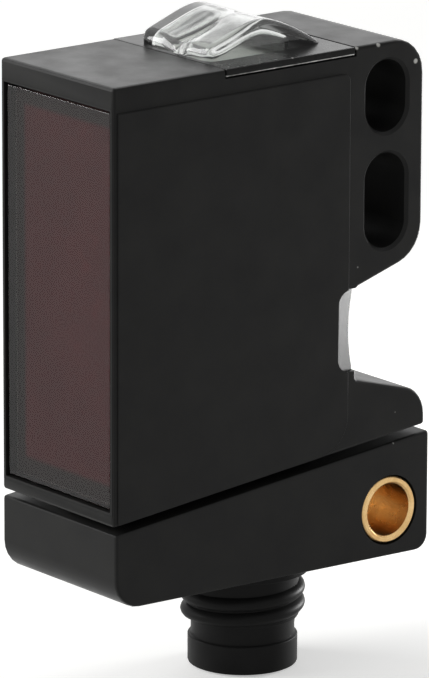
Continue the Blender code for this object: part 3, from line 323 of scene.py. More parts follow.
# %% Black moulded plastic
def moulded_plastic(name, base, worn, roughness, relief=0.10, ior=1.20, chips=()):
    """Plastic from an eroded mould: two shades, uneven gloss, fine grain, nicks and chips."""
    material, tree, shader, place = start_material(name)
    cloud = add(tree, "TexNoise", inputs={
        "Vector": place, "Scale": 1 / (2.6 * MM), "Detail": 4.0, "Roughness": 0.6})
    tone = add(tree, "ValToRGB", inputs={"Fac": cloud.outputs["Fac"]},
               stops=[(0.35, base), (0.75, worn)])

    # Nicks sit in the few cells of a coarse pattern whose random value is highest.
    cells = add(tree, "TexVoronoi", {"feature": "F1"}, {
        "Vector": place, "Scale": 1 / (1.9 * MM), "Randomness": 1.0})
    near = add(tree, "MapRange", {"clamp": True}, {
        "Value": cells.outputs["Distance"], "From Min": 0.030, "From Max": 0.055,
        "To Min": 0.6, "To Max": 0.0})
    chance = add(tree, "SeparateColor", inputs={"Color": cells.outputs["Color"]})
    rare = add(tree, "Math", {"operation": "GREATER_THAN"}, {
        0: chance.outputs["Red"], 1: 0.93})
    marks = add(tree, "Math", {"operation": "MULTIPLY"}, {
        0: near.outputs["Result"], 1: rare.outputs[0]}).outputs[0]

    # A chip is a small round place where the pale broken plastic shows.
    for chip in chips:
        away = add(tree, "VectorMath", {"operation": "DISTANCE"}, {0: place, 1: chip})
        bared = add(tree, "MapRange", {"clamp": True}, {
            "Value": away.outputs["Value"], "From Min": 0.11 * MM, "From Max": 0.19 * MM,
            "To Min": 1.0, "To Max": 0.0})
        marks = add(tree, "Math", {"operation": "MAXIMUM"}, {
            0: marks, 1: bared.outputs["Result"]}).outputs[0]
    mixed = add(tree, "Mix", {"data_type": "RGBA"}, {
        "Factor": marks, "A": tone.outputs["Color"], "B": colour("#d2d1cd")})
    tree.links.new(mixed.outputs["Result"], shader.inputs["Base Color"])

    gloss = add(tree, "MapRange", inputs={
        "Value": cloud.outputs["Fac"], "From Min": 0.3, "From Max": 0.7,
        "To Min": roughness - 0.05, "To Max": roughness + 0.06})
    tree.links.new(gloss.outputs["Result"], shader.inputs["Roughness"])

    grain = add(tree, "TexNoise", inputs={
        "Vector": place, "Scale": 1 / (0.09 * MM), "Detail": 2.0, "Roughness": 0.5})
    bump = add(tree, "Bump", inputs={
        "Strength": relief, "Distance": 0.02 * MM, "Height": grain.outputs["Fac"]})
    tree.links.new(bump.outputs["Normal"], shader.inputs["Normal"])
    shader.inputs["IOR"].default_value = ior
    return material


edge_chips = [spot(5.68, 21.0, 0.08), spot(5.68, 24.05, 1.55), spot(5.68, 19.25, 0.03)]
housing_plastic = moulded_plastic(
    "black_pbt_plastic", "#1d1d1d", "#232322", 0.36, chips=edge_chips)
# The plug comes from a finer mould than the housing, and it is a little duller.
plug_plastic = moulded_plastic(
    "black_plug_plastic", "#1c1c1c", "#222222", 0.44, relief=0.06, ior=1.15)
print("materials:", housing_plastic.name, plug_plastic.name)

# %% [markdown]
# **Plain finishes.** The glue behind the window and the small parts inside need less.
# One function makes such a finish from a base shade, a second shade that mottles it, its
# gloss and the spacing of its texture. Black sealing glue is the first: it is laid round
# the window and under the indicator cover, and it is dull and slightly uneven.

# %% Plain finishes and the black glue
def simple_finish(name, base, second, roughness, spacing_mm, metallic=0.0, relief=0.05):
    """A finish of two mottled shades with a light texture of a real spacing."""
    material, tree, shader, place = start_material(name)
    mottle = add(tree, "TexNoise", inputs={
        "Vector": place, "Scale": 1 / (spacing_mm * MM), "Detail": 3.0, "Roughness": 0.55})
    tone = add(tree, "ValToRGB", inputs={"Fac": mottle.outputs["Fac"]},
               stops=[(0.35, base), (0.70, second)])
    tree.links.new(tone.outputs["Color"], shader.inputs["Base Color"])
    gloss = add(tree, "MapRange", inputs={
        "Value": mottle.outputs["Fac"], "From Min": 0.3, "From Max": 0.7,
        "To Min": roughness - 0.04, "To Max": roughness + 0.05})
    tree.links.new(gloss.outputs["Result"], shader.inputs["Roughness"])
    bump = add(tree, "Bump", inputs={
        "Strength": relief, "Distance": 0.01 * MM, "Height": mottle.outputs["Fac"]})
    tree.links.new(bump.outputs["Normal"], shader.inputs["Normal"])
    shader.inputs["Metallic"].default_value = metallic
    return material


black_glue = simple_finish("black_sealing_glue", "#101010", "#181818", 0.6, 0.3)
print("material:", black_glue.name)

# %% [markdown]
# **The housing** is one moulding: a flat box, an ear with two screw slots at the rear,
# a raised panel on each large side and a foot over the plug. It could be drawn anew with
# insets and cuts, but its form is right in the model, so the piece starts from a copy of
# the node and every edge stays where it was measured.

# %% Copy of the housing
form = merged_copy("housing")
print("whole faces in the copy:", len(form.faces))

# %% [markdown]
# **The lip round the window.** The model leaves a joint of 0.3 mm round the window plate,
# where the real sensor shows a fine dark line. A larger plate would close it too, but
# would no longer fit its recess. So a flat ring is drawn on the front between two
# rectangles and extruded 1.3 mm into the housing, which narrows the joint. Then every
# sharp edge of the housing is rounded by 0.05 mm, and those roundings catch the light.

# %% Lip round the window, and the finished housing
window_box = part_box("front_window")
LIP_GAP, LIP_WIDTH, LIP_DEPTH = 0.13, 0.19, 1.3
loops = []
for margin in (LIP_GAP + LIP_WIDTH, LIP_GAP):
    left, right = window_box[0].x - margin * MM, window_box[1].x + margin * MM
    foot, head = window_box[0].z - margin * MM, window_box[1].z + margin * MM
    loops.append([form.verts.new((x, FRONT, z)) for x, z in (
        (left, foot), (right, foot), (right, head), (left, head))])
outer, inner = loops
ring = [form.faces.new((outer[corner - 1], outer[corner], inner[corner], inner[corner - 1]))
        for corner in range(4)]
rear_side = bmesh.ops.extrude_face_region(form, geom=ring)["geom"]
bmesh.ops.translate(
    form, verts=[item for item in rear_side if isinstance(item, bmesh.types.BMVert)],
    vec=(0, LIP_DEPTH * MM, 0))
bmesh.ops.recalc_face_normals(form, faces=form.faces)
finish(form, "housing_shell", housing_plastic, ["housing"], edge=0.05)

# %% [markdown]
# **The lower housing** carries the plug. In the model both are one node with a coarse
# thread. Here the block is kept from the node: every face that reaches below the
# underside near the axis belongs to the plug and is deleted, and one bridge closes the
# block again between the hole's rim and the plug's bore. The plug is then made anew.

# %% Lower housing without its plug
PLUG_AXIS = spot(0, 14.87, 0)     # where the plug's axis meets the level of the top
PLUG_REACH = 4.6                  # a radius that holds the whole plug, in millimetres
below = spot(0, 0, 33.82).z       # inside that radius only the plug is lower than this


def from_plug_axis(point):
    """Distance of a point from the plug's axis, in millimetres."""
    return math.hypot(point.x - PLUG_AXIS.x, point.y - PLUG_AXIS.y) / MM


form = merged_copy("base_housing")
plug_faces = [face for face in form.faces
              if any(v.co.z < below and from_plug_axis(v.co) < PLUG_REACH
                     for v in face.verts)]
bmesh.ops.delete(form, geom=plug_faces, context="FACES")
rims = [edge for edge in form.edges if edge.is_boundary]
print("open edges after the plug is gone:", len(rims))
bmesh.ops.bridge_loops(form, edges=rims)
bmesh.ops.recalc_face_normals(form, faces=form.faces)
finish(form, "lower_housing_shell", housing_plastic, ["base_housing"],
       edge=0.05)

# %% [markdown]
# **The plug barrel** is round, so its section is drawn once as a closed loop of radii
# and drops and spun about the axis. The section runs down the outside over the flange,
# the neck that carries the thread, the snap groove and the end ring, and back up inside
# the bore. Short slanted steps at the corners stand for the small radii of the mould.

# %% Plug barrel
barrel = [(2.80, 32.3), (4.30, 32.3), (4.30, 34.24), (4.24, 34.30), (3.66, 34.32),
          (3.60, 34.38), (3.60, 37.30), (3.54, 37.40), (3.34, 37.46), (3.32, 37.50),
          (3.32, 38.60), (3.36, 38.64), (3.48, 38.66), (3.52, 38.71), (3.52, 40.38),
          (3.48, 40.48), (3.40, 40.52), (2.92, 40.52), (2.80, 40.42)]
form = spun([PLUG_AXIS + Vector((radius, 0, -drop)) * MM for radius, drop in barrel],
            PLUG_AXIS, (0, 0, 1), 128)
finish(form, "plug_barrel", plug_plastic, ["base_housing"])

# %% [markdown]
# **The thread** is M8 with a pitch of 1 mm. A stack of rings would look much the same
# from far off, but its lines would run level, and on the real plug they slant. A spin
# that also climbs makes a true helix: the ridge's section, a soft hump whose foot sinks
# into the barrel, goes round two and a half times and rises by one pitch a turn.

# %% Plug thread
PITCH = 1.0
CREST_RADIUS, FOOT_RADIUS = 4.0, 3.30
THREAD_TURNS, STEPS_A_TURN = 2.55, 84
LOW_ANGLE = math.radians(-320)    # the thread's lower end, round the axis from +X
LOW_DROP = 36.68 - PITCH * LOW_ANGLE / (2 * math.pi)

form = bmesh.new()
flank = [(FOOT_RADIUS, 0.52), (3.52, 0.49), (3.68, 0.43), (3.84, 0.33), (3.95, 0.18)]
hump = [*flank, (CREST_RADIUS, 0.0), *[(radius, -rise) for radius, rise in flank[::-1]]]
form.faces.new([form.verts.new(PLUG_AXIS + Vector((radius, 0, rise - LOW_DROP)) * MM)
                for radius, rise in hump])
bmesh.ops.rotate(
    form, verts=form.verts, cent=PLUG_AXIS, matrix=Matrix.Rotation(LOW_ANGLE, 3, "Z"))
bmesh.ops.spin(
    form, geom=form.verts[:] + form.edges[:] + form.faces[:], cent=PLUG_AXIS,
    axis=(0, 0, 1), dvec=(0, 0, PITCH * MM / STEPS_A_TURN),
    angle=2 * math.pi * THREAD_TURNS, steps=round(STEPS_A_TURN * THREAD_TURNS))
print("turns:", THREAD_TURNS, "and points on the ridge:", len(form.verts))

# %% [markdown]
# **The thread's ends.** A moulded thread doesn't stop dead, it fades into the barrel.
# For each point, its angle and its height together tell how many turns of the helix lie
# before it. Over the first and the last two fifths of a turn the ridge is drawn in
# towards its foot.

# %% Tapered ends of the thread
TAPER_TURNS = 0.40
for vertex in form.verts:
    away = vertex.co - PLUG_AXIS
    part_turn = (math.atan2(away.y, away.x) - LOW_ANGLE) / (2 * math.pi)
    climbed = (LOW_DROP + away.z / MM) / PITCH
    turns_done = part_turn + round(climbed - part_turn)
    share = min(turns_done, THREAD_TURNS - turns_done) / TAPER_TURNS
    if share < 1:
        radius = math.hypot(away.x, away.y) / MM
        wanted = FOOT_RADIUS + (radius - FOOT_RADIUS) * max(share, 0.02)
        vertex.co.x = PLUG_AXIS.x + away.x * wanted / radius
        vertex.co.y = PLUG_AXIS.y + away.y * wanted / radius
bmesh.ops.recalc_face_normals(form, faces=form.faces)
finish(form, "plug_thread", plug_plastic, ["base_housing"])

# %% [markdown]
# **Tinted acrylic.** The window is a plate of acrylic that lets the sensor's own red
# light through and keeps daylight out. It is cast flat and polished, so it mirrors the
# room, and a few grains of dust lie on it. Here the plate itself is nearly clear, and
# its colour comes from what lies behind. The IOR of acrylic is 1.49; the plate mirrors
# less of the white room in the photograph, and 1.31 matches that.

# %% Tinted acrylic with dust
tinted, tree, shader, place = start_material("tinted_cast_acrylic")
shader.inputs["Roughness"].default_value = 0.0
shader.inputs["IOR"].default_value = 1.31
# Grains lie in the few cells of a coarse pattern whose random value is highest.
cells = add(tree, "TexVoronoi", {"feature": "F1"}, {
    "Vector": place, "Scale": 1 / (1.7 * MM), "Randomness": 1.0})
near = add(tree, "MapRange", {"clamp": True}, {
    "Value": cells.outputs["Distance"], "From Min": 0.025, "From Max": 0.060,
    "To Min": 1.0, "To Max": 0.0})
chance = add(tree, "SeparateColor", inputs={"Color": cells.outputs["Color"]})
rare = add(tree, "Math", {"operation": "GREATER_THAN"}, {
    0: chance.outputs["Green"], 1: 0.86})
grain = add(tree, "Math", {"operation": "MULTIPLY"}, {
    0: near.outputs["Result"], 1: rare.outputs[0]})
dusty = add(tree, "Mix", {"data_type": "RGBA"}, {
    "Factor": grain.outputs[0], "A": colour("#f0e4e3"), "B": colour("#8b8587")})
tree.links.new(dusty.outputs["Result"], shader.inputs["Base Color"])
clean = add(tree, "Math", {"operation": "SUBTRACT"}, {0: 1.0, 1: grain.outputs[0]})
tree.links.new(clean.outputs[0], shader.inputs["Transmission Weight"])
print("material:", tinted.name)

# %% [markdown]
# ** The red field.** Below the gloss the eye sees a red field inside a dark ledge. The
# plate bends the view, which shifts that field towards the right edge, and painting the
# field on the back of a clear plate gives that shift of itself. The field is a soft
# rectangle about the middle of the window: on each axis the distance from the middle is
# compared with half the field's size, and the two answers are multiplied. Its red is
# blotchy with painted light: brighter red patches stand for the lit parts behind it.

# %% Red field behind the window
window_middle = (window_box[0] + window_box[1]) / 2
FIELD_HALF_WIDTH, FIELD_HALF_HEIGHT = 4.40, 11.45

field, tree, shader, place = start_material("red_field_with_painted_light")
axes = add(tree, "SeparateXYZ", inputs={"Vector": place}).outputs
within = []
for axis, middle, half in (("X", window_middle.x, FIELD_HALF_WIDTH),
                           ("Z", window_middle.z, FIELD_HALF_HEIGHT)):
    off = add(tree, "Math", {"operation": "SUBTRACT"}, {0: axes[axis], 1: middle})
    size = add(tree, "Math", {"operation": "ABSOLUTE"}, {0: off.outputs[0]})
    soft = add(tree, "MapRange", {"clamp": True, "interpolation_type": "SMOOTHSTEP"}, {
        "Value": size.outputs[0], "From Min": (half - 0.35) * MM,
        "From Max": (half + 0.10) * MM, "To Min": 1.0, "To Max": 0.0})
    within.append(soft.outputs["Result"])
inside = add(tree, "Math", {"operation": "MULTIPLY"}, {0: within[0], 1: within[1]})
# Painted light: the brightest red stop paints glints of lit parts behind the window.
painted_light_blotch = add(tree, "TexNoise", inputs={
    "Vector": place, "Scale": 1 / (5.0 * MM), "Detail": 3.0, "Roughness": 0.6})
red = add(tree, "ValToRGB", inputs={"Fac": painted_light_blotch.outputs["Fac"]},
          stops=[(0.35, "#3e1013"), (0.62, "#431114"), (0.80, "#5a1417")])
painted = add(tree, "Mix", {"data_type": "RGBA"}, {
    "Factor": inside.outputs[0], "A": colour("#1f1715"), "B": red.outputs["Color"]})
tree.links.new(painted.outputs["Result"], shader.inputs["Base Color"])
shader.inputs["Roughness"].default_value = 0.6
shader.inputs["Specular IOR Level"].default_value = 0.1
print("red field in mm:", 2 * FIELD_HALF_WIDTH, "by", 2 * FIELD_HALF_HEIGHT)

# %% [markdown]
# **The window plate** keeps its node's form. Its front stays clear acrylic, its back
# carries the red field and its four sides stand in black glue.

# %% Window plate
form = merged_copy("front_window")
bmesh.ops.recalc_face_normals(form, faces=form.faces)
window = finish(form, "window_plate", tinted, ["front_window"])
window.data.materials.append(field)
window.data.materials.append(black_glue)
RED_FIELD, IN_GLUE = 1, 2         # places in the plate's list of materials
for face in window.data.polygons:
    if face.normal.y > 0.99:
        face.material_index = RED_FIELD
    elif abs(face.normal.y) < 0.3:
        face.material_index = IN_GLUE
print("faces in glue:", sum(face.material_index == IN_GLUE for face in window.data.polygons))

# %% [markdown]
# **The indicator cover** is a clear plate with a dome that spreads the light of the two
# indicators to all sides. The dome could be sculpted, but a formula for its height keeps
# both halves alike, and each term of it is one feature. Its front starts as a short
# upright toe, levels off and then climbs in an S to the crest. Behind the crest it falls
# in an arch down to the plate. A valley along the middle parts the front into two lobes
# and nearly fades out before the crest.

# %% Height of the dome
DOME_FRONT, DOME_CREST, DOME_REAR = 9.2, 13.7, 18.3
DOME_LENGTH, DOME_HEIGHT = 7.1, 2.13


def ease(share):
    """Rises from 0 to 1 with no corner at either end."""
    share = min(max(share, 0.0), 1.0)
    return share * share * (3 - 2 * share)


def dome_height(x, depth):
    """Height of the dome above the flat top, in millimetres."""
    if depth < DOME_CREST:
        into = depth - DOME_FRONT
        climb = ease(into / (DOME_CREST - DOME_FRONT))
        height = 0.62 + 0.42 * (1 - math.exp(-into / 0.45)) + 1.09 * climb
    else:
        fallen = ((depth - DOME_CREST) / (DOME_REAR - DOME_CREST)) ** 1.4
        height = DOME_HEIGHT * (1 - fallen)
    valley = 0.06 + 0.30 * (1 - ease((depth - 10.6) / 2.8))
    return height * (1 - valley * math.exp(-(x / 0.85) ** 2))


print("dome at its front, in a lobe's middle and at its crest:",
      [round(dome_height(1.8, depth), 2) for depth in (DOME_FRONT, 11.5, DOME_CREST)])

# %% [markdown]
# **The dome as a solid.** A flat grid is extruded into a thin block, and the formula then
# lifts the points of its top. The rows crowd towards the rim, where a fillet needs them,
# and the rim is a rectangle with round corners. The same function makes the hollow under
# the dome when it is given an inset, so the wall between the two is nearly even.

# %% The dome as a solid
DOME_FILLET = 0.36
CORNER_POWER = 12                 # higher means sharper corners, seen from above
LEAST_RISE = 0.04                 # the top of the block never meets its underside


def rounding(distance):
    """How far a rounded edge has fallen at a distance from the wall, in millimetres."""
    off = max(DOME_FILLET - distance, 0.0)
    return DOME_FILLET - math.sqrt(DOME_FILLET ** 2 - off ** 2)


def dome_solid(inset, rear, drop):
    """The dome up to a rear depth as a closed solid, set in, standing on a level."""
    form = bmesh.new()
    bmesh.ops.create_grid(form, x_segments=72, y_segments=84, size=1)
    half_x = DOME_LENGTH / 2 - inset
    half_y = (rear - DOME_FRONT - inset) / 2
    middle = (rear + DOME_FRONT + inset) / 2
    lifted = bmesh.ops.extrude_face_region(form, geom=form.faces[:])["geom"]
    top = {item for item in lifted if isinstance(item, bmesh.types.BMVert)}
    for vertex in form.verts:
        across, along = (math.sin(share * math.pi / 2) for share in vertex.co[:2])
        x = across * half_x * (1 - abs(along) ** CORNER_POWER / 2) ** (1 / CORNER_POWER)
        y = along * half_y * (1 - abs(across) ** CORNER_POWER / 2) ** (1 / CORNER_POWER)
        depth = middle + y
        if vertex in top:
            height = dome_height(x * DOME_LENGTH / 2 / half_x, depth)
            side_fall = rounding((1 - abs(across)) * half_x)
            front_fall = rounding((1 + along) * half_y)
            rise = max(height - side_fall - front_fall - inset, LEAST_RISE - drop)
            vertex.co = spot(x, depth, -rise)
        else:
            vertex.co = spot(x, depth, drop)
    bmesh.ops.recalc_face_normals(form, faces=form.faces)
    return form


print("fillet falls by", DOME_FILLET, "mm at the wall and by", rounding(DOME_FILLET),
      "mm where it ends")

# %% [markdown]
# **Joining and cutting.** The plate, the dome and the hollow are three simple solids. A
# Boolean modifier joins the dome to the plate and a second one cuts the hollow, as the
# core of the mould does. The result is read back as one mesh, and the helpers go.

# %% Joining and cutting
def loose_object(form, name):
    """A bmesh as a plain object that another piece is joined to or cut with."""
    mesh = bpy.data.meshes.new(name)
    form.to_mesh(mesh)
    form.free()
    piece = bpy.data.objects.new(name, mesh)
    bpy.context.scene.collection.objects.link(piece)
    return piece


def combined(target, steps):
    """The mesh of the target after joining or cutting it with other objects, which go."""
    for other, operation in steps:
        modifier = target.modifiers.new(other.name, "BOOLEAN")
        modifier.operation = operation
        modifier.solver = "EXACT"
        modifier.object = other
    graph = bpy.context.evaluated_depsgraph_get()
    mesh = bpy.data.meshes.new_from_object(target.evaluated_get(graph))
    for piece in [target, *[other for other, _ in steps]]:
        bpy.data.objects.remove(piece, do_unlink=True)
    return mesh


plate_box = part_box("indicator_cover")
print("cover in the model, in mm:",
      [round(side / MM, 2) for side in plate_box[1] - plate_box[0]])

# %% [markdown]
# **The cover's body.** The plate fills the recess in the housing's top, flush with it,
# and its edges are rounded by 0.09 mm. The hollow ends well before the dome's rear, so
# the rear is solid plastic and shows dark, as in the photograph.

# %% Plate, dome and hollow
PLATE_THICKNESS = 0.5
HOLLOW_INSET, HOLLOW_REAR = 0.70, 15.9

form = bmesh.new()
bmesh.ops.create_cube(form, size=1)
plate_size = Vector((plate_box[1].x - plate_box[0].x, plate_box[1].y - plate_box[0].y,
                     PLATE_THICKNESS * MM))
plate_middle = Vector((0, (plate_box[0].y + plate_box[1].y) / 2, TOP - plate_size.z / 2))
bmesh.ops.transform(
    form, verts=form.verts,
    matrix=Matrix.Translation(plate_middle) @ Matrix.Diagonal((*plate_size, 1)))
bmesh.ops.bevel(
    form, geom=form.edges[:], offset=0.09 * MM, segments=2, profile=0.5, affect="EDGES",
    material=-1)
plate = loose_object(form, "plate")
dome = loose_object(dome_solid(0, DOME_REAR, PLATE_THICKNESS / 2), "dome")
hollow = loose_object(
    dome_solid(HOLLOW_INSET, HOLLOW_REAR, PLATE_THICKNESS + 0.5), "hollow")
cover_mesh = combined(plate, [(dome, "UNION"), (hollow, "DIFFERENCE")])
print("cover faces:", len(cover_mesh.polygons))

# %% [markdown]
# **Clear polycarbonate** is colourless and bends light strongly, with an IOR of 1.585.
# The outside of the mould was polished, so only a faint waviness shows where the melt
# cooled, here a bump of about 1.2 mm spacing. The core that made the hollow was etched,
# so the inside is lightly frosted and spreads the light; its spots are finer than the
# render can show, and are drawn at 0.25 mm.

# %% Clear and frosted polycarbonate
clear, tree, shader, place = start_material("clear_polycarbonate")
shader.inputs["Base Color"].default_value = colour("#eceeec")
shader.inputs["Roughness"].default_value = 0.03
shader.inputs["IOR"].default_value = 1.585
shader.inputs["Transmission Weight"].default_value = 1.0
wave = add(tree, "TexNoise", inputs={
    "Vector": place, "Scale": 1 / (1.2 * MM), "Detail": 1.0, "Roughness": 0.4})
bump = add(tree, "Bump", inputs={
    "Strength": 0.08, "Distance": 0.05 * MM, "Height": wave.outputs["Fac"]})
tree.links.new(bump.outputs["Normal"], shader.inputs["Normal"])

frosted, tree, shader, place = start_material("frosted_polycarbonate")
shader.inputs["Base Color"].default_value = colour("#eceeec")
shader.inputs["IOR"].default_value = 1.585
shader.inputs["Transmission Weight"].default_value = 1.0
etch = add(tree, "TexNoise", inputs={
    "Vector": place, "Scale": 1 / (0.25 * MM), "Detail": 2.0, "Roughness": 0.5})
gloss = add(tree, "MapRange", inputs={
    "Value": etch.outputs["Fac"], "From Min": 0.3, "From Max": 0.7,
    "To Min": 0.14, "To Max": 0.22})
tree.links.new(gloss.outputs["Result"], shader.inputs["Roughness"])
print("materials:", clear.name, frosted.name)

# %% [markdown]
# ** The finished cover.** The plate lies on black glue, and clear plastic on black looks
# black: its flat top and its rim are a smooth satin black. The lowest edge of the rim gets
# a painted glow: a pale, mottled finish paints on it the thin bright line that light caught
# in the plate draws there. So five finishes meet on one piece, and each face is given its
# own by where it lies and which way it looks.

# %% Finished cover
black_backed = moulded_plastic(
    "black_backed_polycarbonate", "#191919", "#1f1f1f", 0.28, relief=0.04)
# A pale mottled finish that paints a glow on the rim's lowest edge; it is not a lamp.
painted_edge_glow = simple_finish("painted_glow_polycarbonate", "#6a6a68", "#f0f0ee", 0.25, 0.9)

form = bmesh.new()
form.from_mesh(cover_mesh)
bpy.data.meshes.remove(cover_mesh)
bmesh.ops.remove_doubles(form, verts=form.verts, dist=0.001 * MM)
cover = finish(form, "cover_dome", clear, ["indicator_cover"])
for material in (black_glue, black_backed, frosted, painted_edge_glow):
    cover.data.materials.append(material)

ON_GLUE, BLACK, FROSTED, PAINTED_GLOW = 1, 2, 3, 4    # places in the cover's list of materials
RIM = 0.1 * MM
for face in cover.data.polygons:
    middle, up = face.center, face.normal.z
    x, depth = middle.x / MM, (middle.y - FRONT) / MM
    at_rim = (abs(middle.x) > plate_box[1].x - RIM or middle.y < plate_box[0].y + RIM
              or middle.y > plate_box[1].y - RIM)
    over_hollow = (abs(x) < DOME_LENGTH / 2 - HOLLOW_INSET + 0.05
                   and DOME_FRONT + HOLLOW_INSET - 0.1 < depth < HOLLOW_REAR + 0.1)
    if up < -0.9 and middle.z < TOP - 0.9 * PLATE_THICKNESS * MM:
        face.material_index = ON_GLUE
    # The lowest faces of the rim take the painted glow.
    elif at_rim and up < -0.1:
        face.material_index = PAINTED_GLOW
    elif (at_rim and up < 0.5) or (up > 0.9 and abs(middle.z - TOP) < 0.02 * MM):
        face.material_index = BLACK
    elif over_hollow and middle.z < TOP + (dome_height(x, depth) - 0.5) * MM:
        face.material_index = FROSTED
print("faces clear, on glue, black, frosted and painted_glow:", [
    sum(face.material_index == number for face in cover.data.polygons)
    for number in range(5)])

# %% [markdown]
# **Turned brass.** The bush is cut from bar stock on a lathe. Free-cutting brass is a
# warm yellow metal; the tool leaves fine rings on the faces and along the bore, about
# 0.05 mm apart, drawn at 0.12 mm so that they show. Both come from one wave that runs
# outwards over the faces and along the bore. Handling dulls the metal in patches.

# %% Turned brass
bush_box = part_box("mounting_bush")
bush_middle = (bush_box[0] + bush_box[1]) / 2

brass, tree, shader, place = start_material("turned_free_cutting_brass")
from_bush = add(tree, "Mapping", {"vector_type": "POINT"}, {
    "Vector": place, "Location": (-bush_middle.x, -bush_middle.y, -bush_middle.z)})
axes = add(tree, "SeparateXYZ", inputs={"Vector": from_bush.outputs[0]}).outputs
flat = add(tree, "CombineXYZ", inputs={"X": 0.0, "Y": axes["Y"], "Z": axes["Z"]})
radius = add(tree, "VectorMath", {"operation": "LENGTH"}, {0: flat.outputs[0]})
tool_way = add(tree, "Math", {"operation": "ADD"}, {
    0: radius.outputs["Value"], 1: axes["X"]})
phase = add(tree, "Math", {"operation": "MULTIPLY"}, {
    0: tool_way.outputs[0], 1: 2 * math.pi / (0.12 * MM)})
rings = add(tree, "Math", {"operation": "SINE"}, {0: phase.outputs[0]})
bump = add(tree, "Bump", inputs={
    "Strength": 0.25, "Distance": 0.01 * MM, "Height": rings.outputs[0]})
tree.links.new(bump.outputs["Normal"], shader.inputs["Normal"])

stain = add(tree, "TexNoise", inputs={
    "Vector": place, "Scale": 1 / (1.5 * MM), "Detail": 4.0, "Roughness": 0.6})
tone = add(tree, "ValToRGB", inputs={"Fac": stain.outputs["Fac"]},
           stops=[(0.30, "#c69f66"), (0.55, "#dab782"), (0.78, "#e7c99a")])
tree.links.new(tone.outputs["Color"], shader.inputs["Base Color"])
dull = add(tree, "MapRange", inputs={
    "Value": stain.outputs["Fac"], "From Min": 0.3, "From Max": 0.7,
    "To Min": 0.34, "To Max": 0.22})
tree.links.new(dull.outputs["Result"], shader.inputs["Roughness"])
shader.inputs["Metallic"].default_value = 1.0
print("material:", brass.name)

# %% [markdown]
# **The bush** is a plain sleeve through the lower housing that takes a mounting screw
# without crushing the plastic. It has a chamfer at each rim. A cylinder with a second one
# cut out of it would need its chamfers added, so its section is drawn with them instead,
# as places along the X axis and radii, and spun about that axis.

# %% Bush
half = (bush_box[1].x - bush_box[0].x) / 2
OUTER, BORE, CHAMFER = 2.19 * MM, 1.72 * MM, 0.12 * MM
sleeve = [(half, OUTER - CHAMFER), (half - CHAMFER, OUTER), (CHAMFER - half, OUTER),
          (-half, OUTER - CHAMFER), (-half, BORE + CHAMFER), (CHAMFER - half, BORE),
          (half - CHAMFER, BORE), (half, BORE + CHAMFER)]
form = spun([bush_middle + Vector((x, 0, radius)) for x, radius in sleeve],
            bush_middle, (1, 0, 0), 96)
finish(form, "brass_bush", brass, ["mounting_bush"])

# %% [markdown]
# **The parts inside** are hidden while the sensor is whole, but each has its real finish
# for when it is opened: gold contacts, green boards, black chips, tinned shield, pale
# wires. They keep the model's meshes. The table gives for each finish the nodes that
# take it, by the start of their names, and then two shades, gloss, spacing of the
# texture in mm, metal or not, and relief.

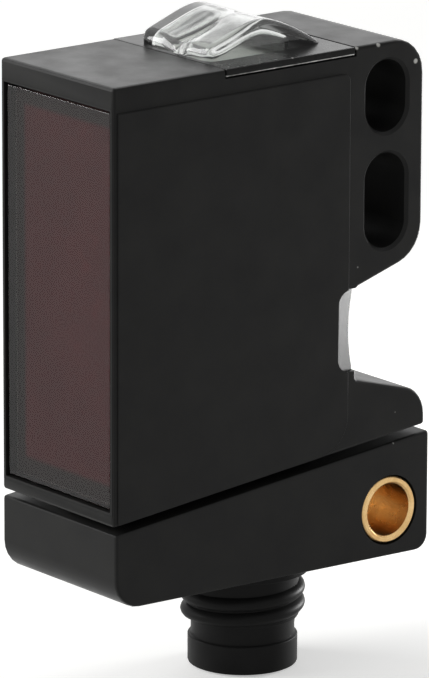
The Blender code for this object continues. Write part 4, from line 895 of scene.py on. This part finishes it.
# %% Finishes of the inner parts
inner_finishes = {
    # Hard gold flashed over nickel: a warm smooth plate on every contact.
    "gold_plated_contact": (
        ("contact_pin_",), ("#d9b35a", "#e6c877", 0.20, 0.4, 1.0, 0.05)),
    # Glass-filled nylon, matt so that it throws no stray light on the receiver.
    "matt_glass_filled_nylon": (
        ("optics_carrier", "contact_carrier"), ("#151515", "#1e1e1d", 0.68, 0.3, 0.0, 0.15)),
    # Woven glass and resin under a green solder mask.
    "solder_masked_board": (
        ("main_board", "optics_board"), ("#14452a", "#1c5a36", 0.38, 0.6, 0.0, 0.10)),
    # Thin amber film with copper between its layers.
    "polyimide_film": (
        ("board_link",), ("#9a5a1e", "#b46f2a", 0.30, 0.8, 0.0, 0.05)),
    # Transfer-moulded epoxy with a finely etched face.
    "moulded_epoxy": (
        ("processor_chip", "driver_chip", "regulator_chip", "amplifier_chip",
         "receiver_chip"), ("#1d1d20", "#262629", 0.55, 0.15, 0.0, 0.12)),
    # Fired ceramic, a chalky tan.
    "fired_ceramic": (
        ("capacitor_",), ("#a98a66", "#b99a76", 0.50, 0.2, 0.0, 0.08)),
    # Tinned steel sheet, dulled by handling.
    "tinned_steel": (
        ("receiver_shield",), ("#a9aaa8", "#bebfbc", 0.30, 0.5, 1.0, 0.06)),
    # Moulded nitrile rubber, matt and slightly dusty.
    "nitrile_rubber": (
        ("base_seal",), ("#171717", "#222221", 0.78, 0.25, 0.0, 0.15)),
    # Soft PVC round each wire.
    "wire_pvc": (
        ("lead_",), ("#8f8f8a", "#a3a39d", 0.48, 0.5, 0.0, 0.05)),
    # Tinted epoxy, cast glossy over each light-emitting chip.
    "red_tinted_epoxy": (
        ("emitter_led",), ("#b02a2a", "#c23c36", 0.16, 0.4, 0.0, 0.03)),
    "green_tinted_epoxy": (
        ("indicator_led_green",), ("#3f9a4c", "#55ad5e", 0.16, 0.4, 0.0, 0.03)),
    "yellow_tinted_epoxy": (
        ("indicator_led_yellow",), ("#d2a63a", "#dfb955", 0.16, 0.4, 0.0, 0.03)),
}
for name, (starts, values) in inner_finishes.items():
    material = simple_finish(name, *values)
    dressed = [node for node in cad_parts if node.startswith(starts)]
    for node in dressed:
        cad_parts[node].material_slots[0].material = material
    print(name, "on", ", ".join(sorted(dressed)))

# %% [markdown]
# **Optical acrylic.** The two lenses are polished and as clear as the cover, but less
# dense, with an IOR of 1.49. The light guide under the dome is filled with white pigment
# and satin, so that it glows evenly; unlit it is an opaque milky white.

# %% Lenses and light guide
for name, nodes, tint, roughness, transmission in (
        ("optical_acrylic", ("emitter_lens", "receiver_lens"), "#f2f4f4", 0.02, 1.0),
        ("milky_acrylic", ("light_guide",), "#d8dad6", 0.45, 0.0)):
    material, tree, shader, place = start_material(name)
    haze = add(tree, "TexNoise", inputs={
        "Vector": place, "Scale": 1 / (1.0 * MM), "Detail": 2.0, "Roughness": 0.5})
    gloss = add(tree, "MapRange", inputs={
        "Value": haze.outputs["Fac"], "To Min": roughness, "To Max": roughness + 0.06})
    tree.links.new(gloss.outputs["Result"], shader.inputs["Roughness"])
    shader.inputs["Base Color"].default_value = colour(tint)
    shader.inputs["IOR"].default_value = 1.49
    shader.inputs["Transmission Weight"].default_value = transmission
    for node in nodes:
        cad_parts[node].material_slots[0].material = material
    print(name, "on", ", ".join(nodes))
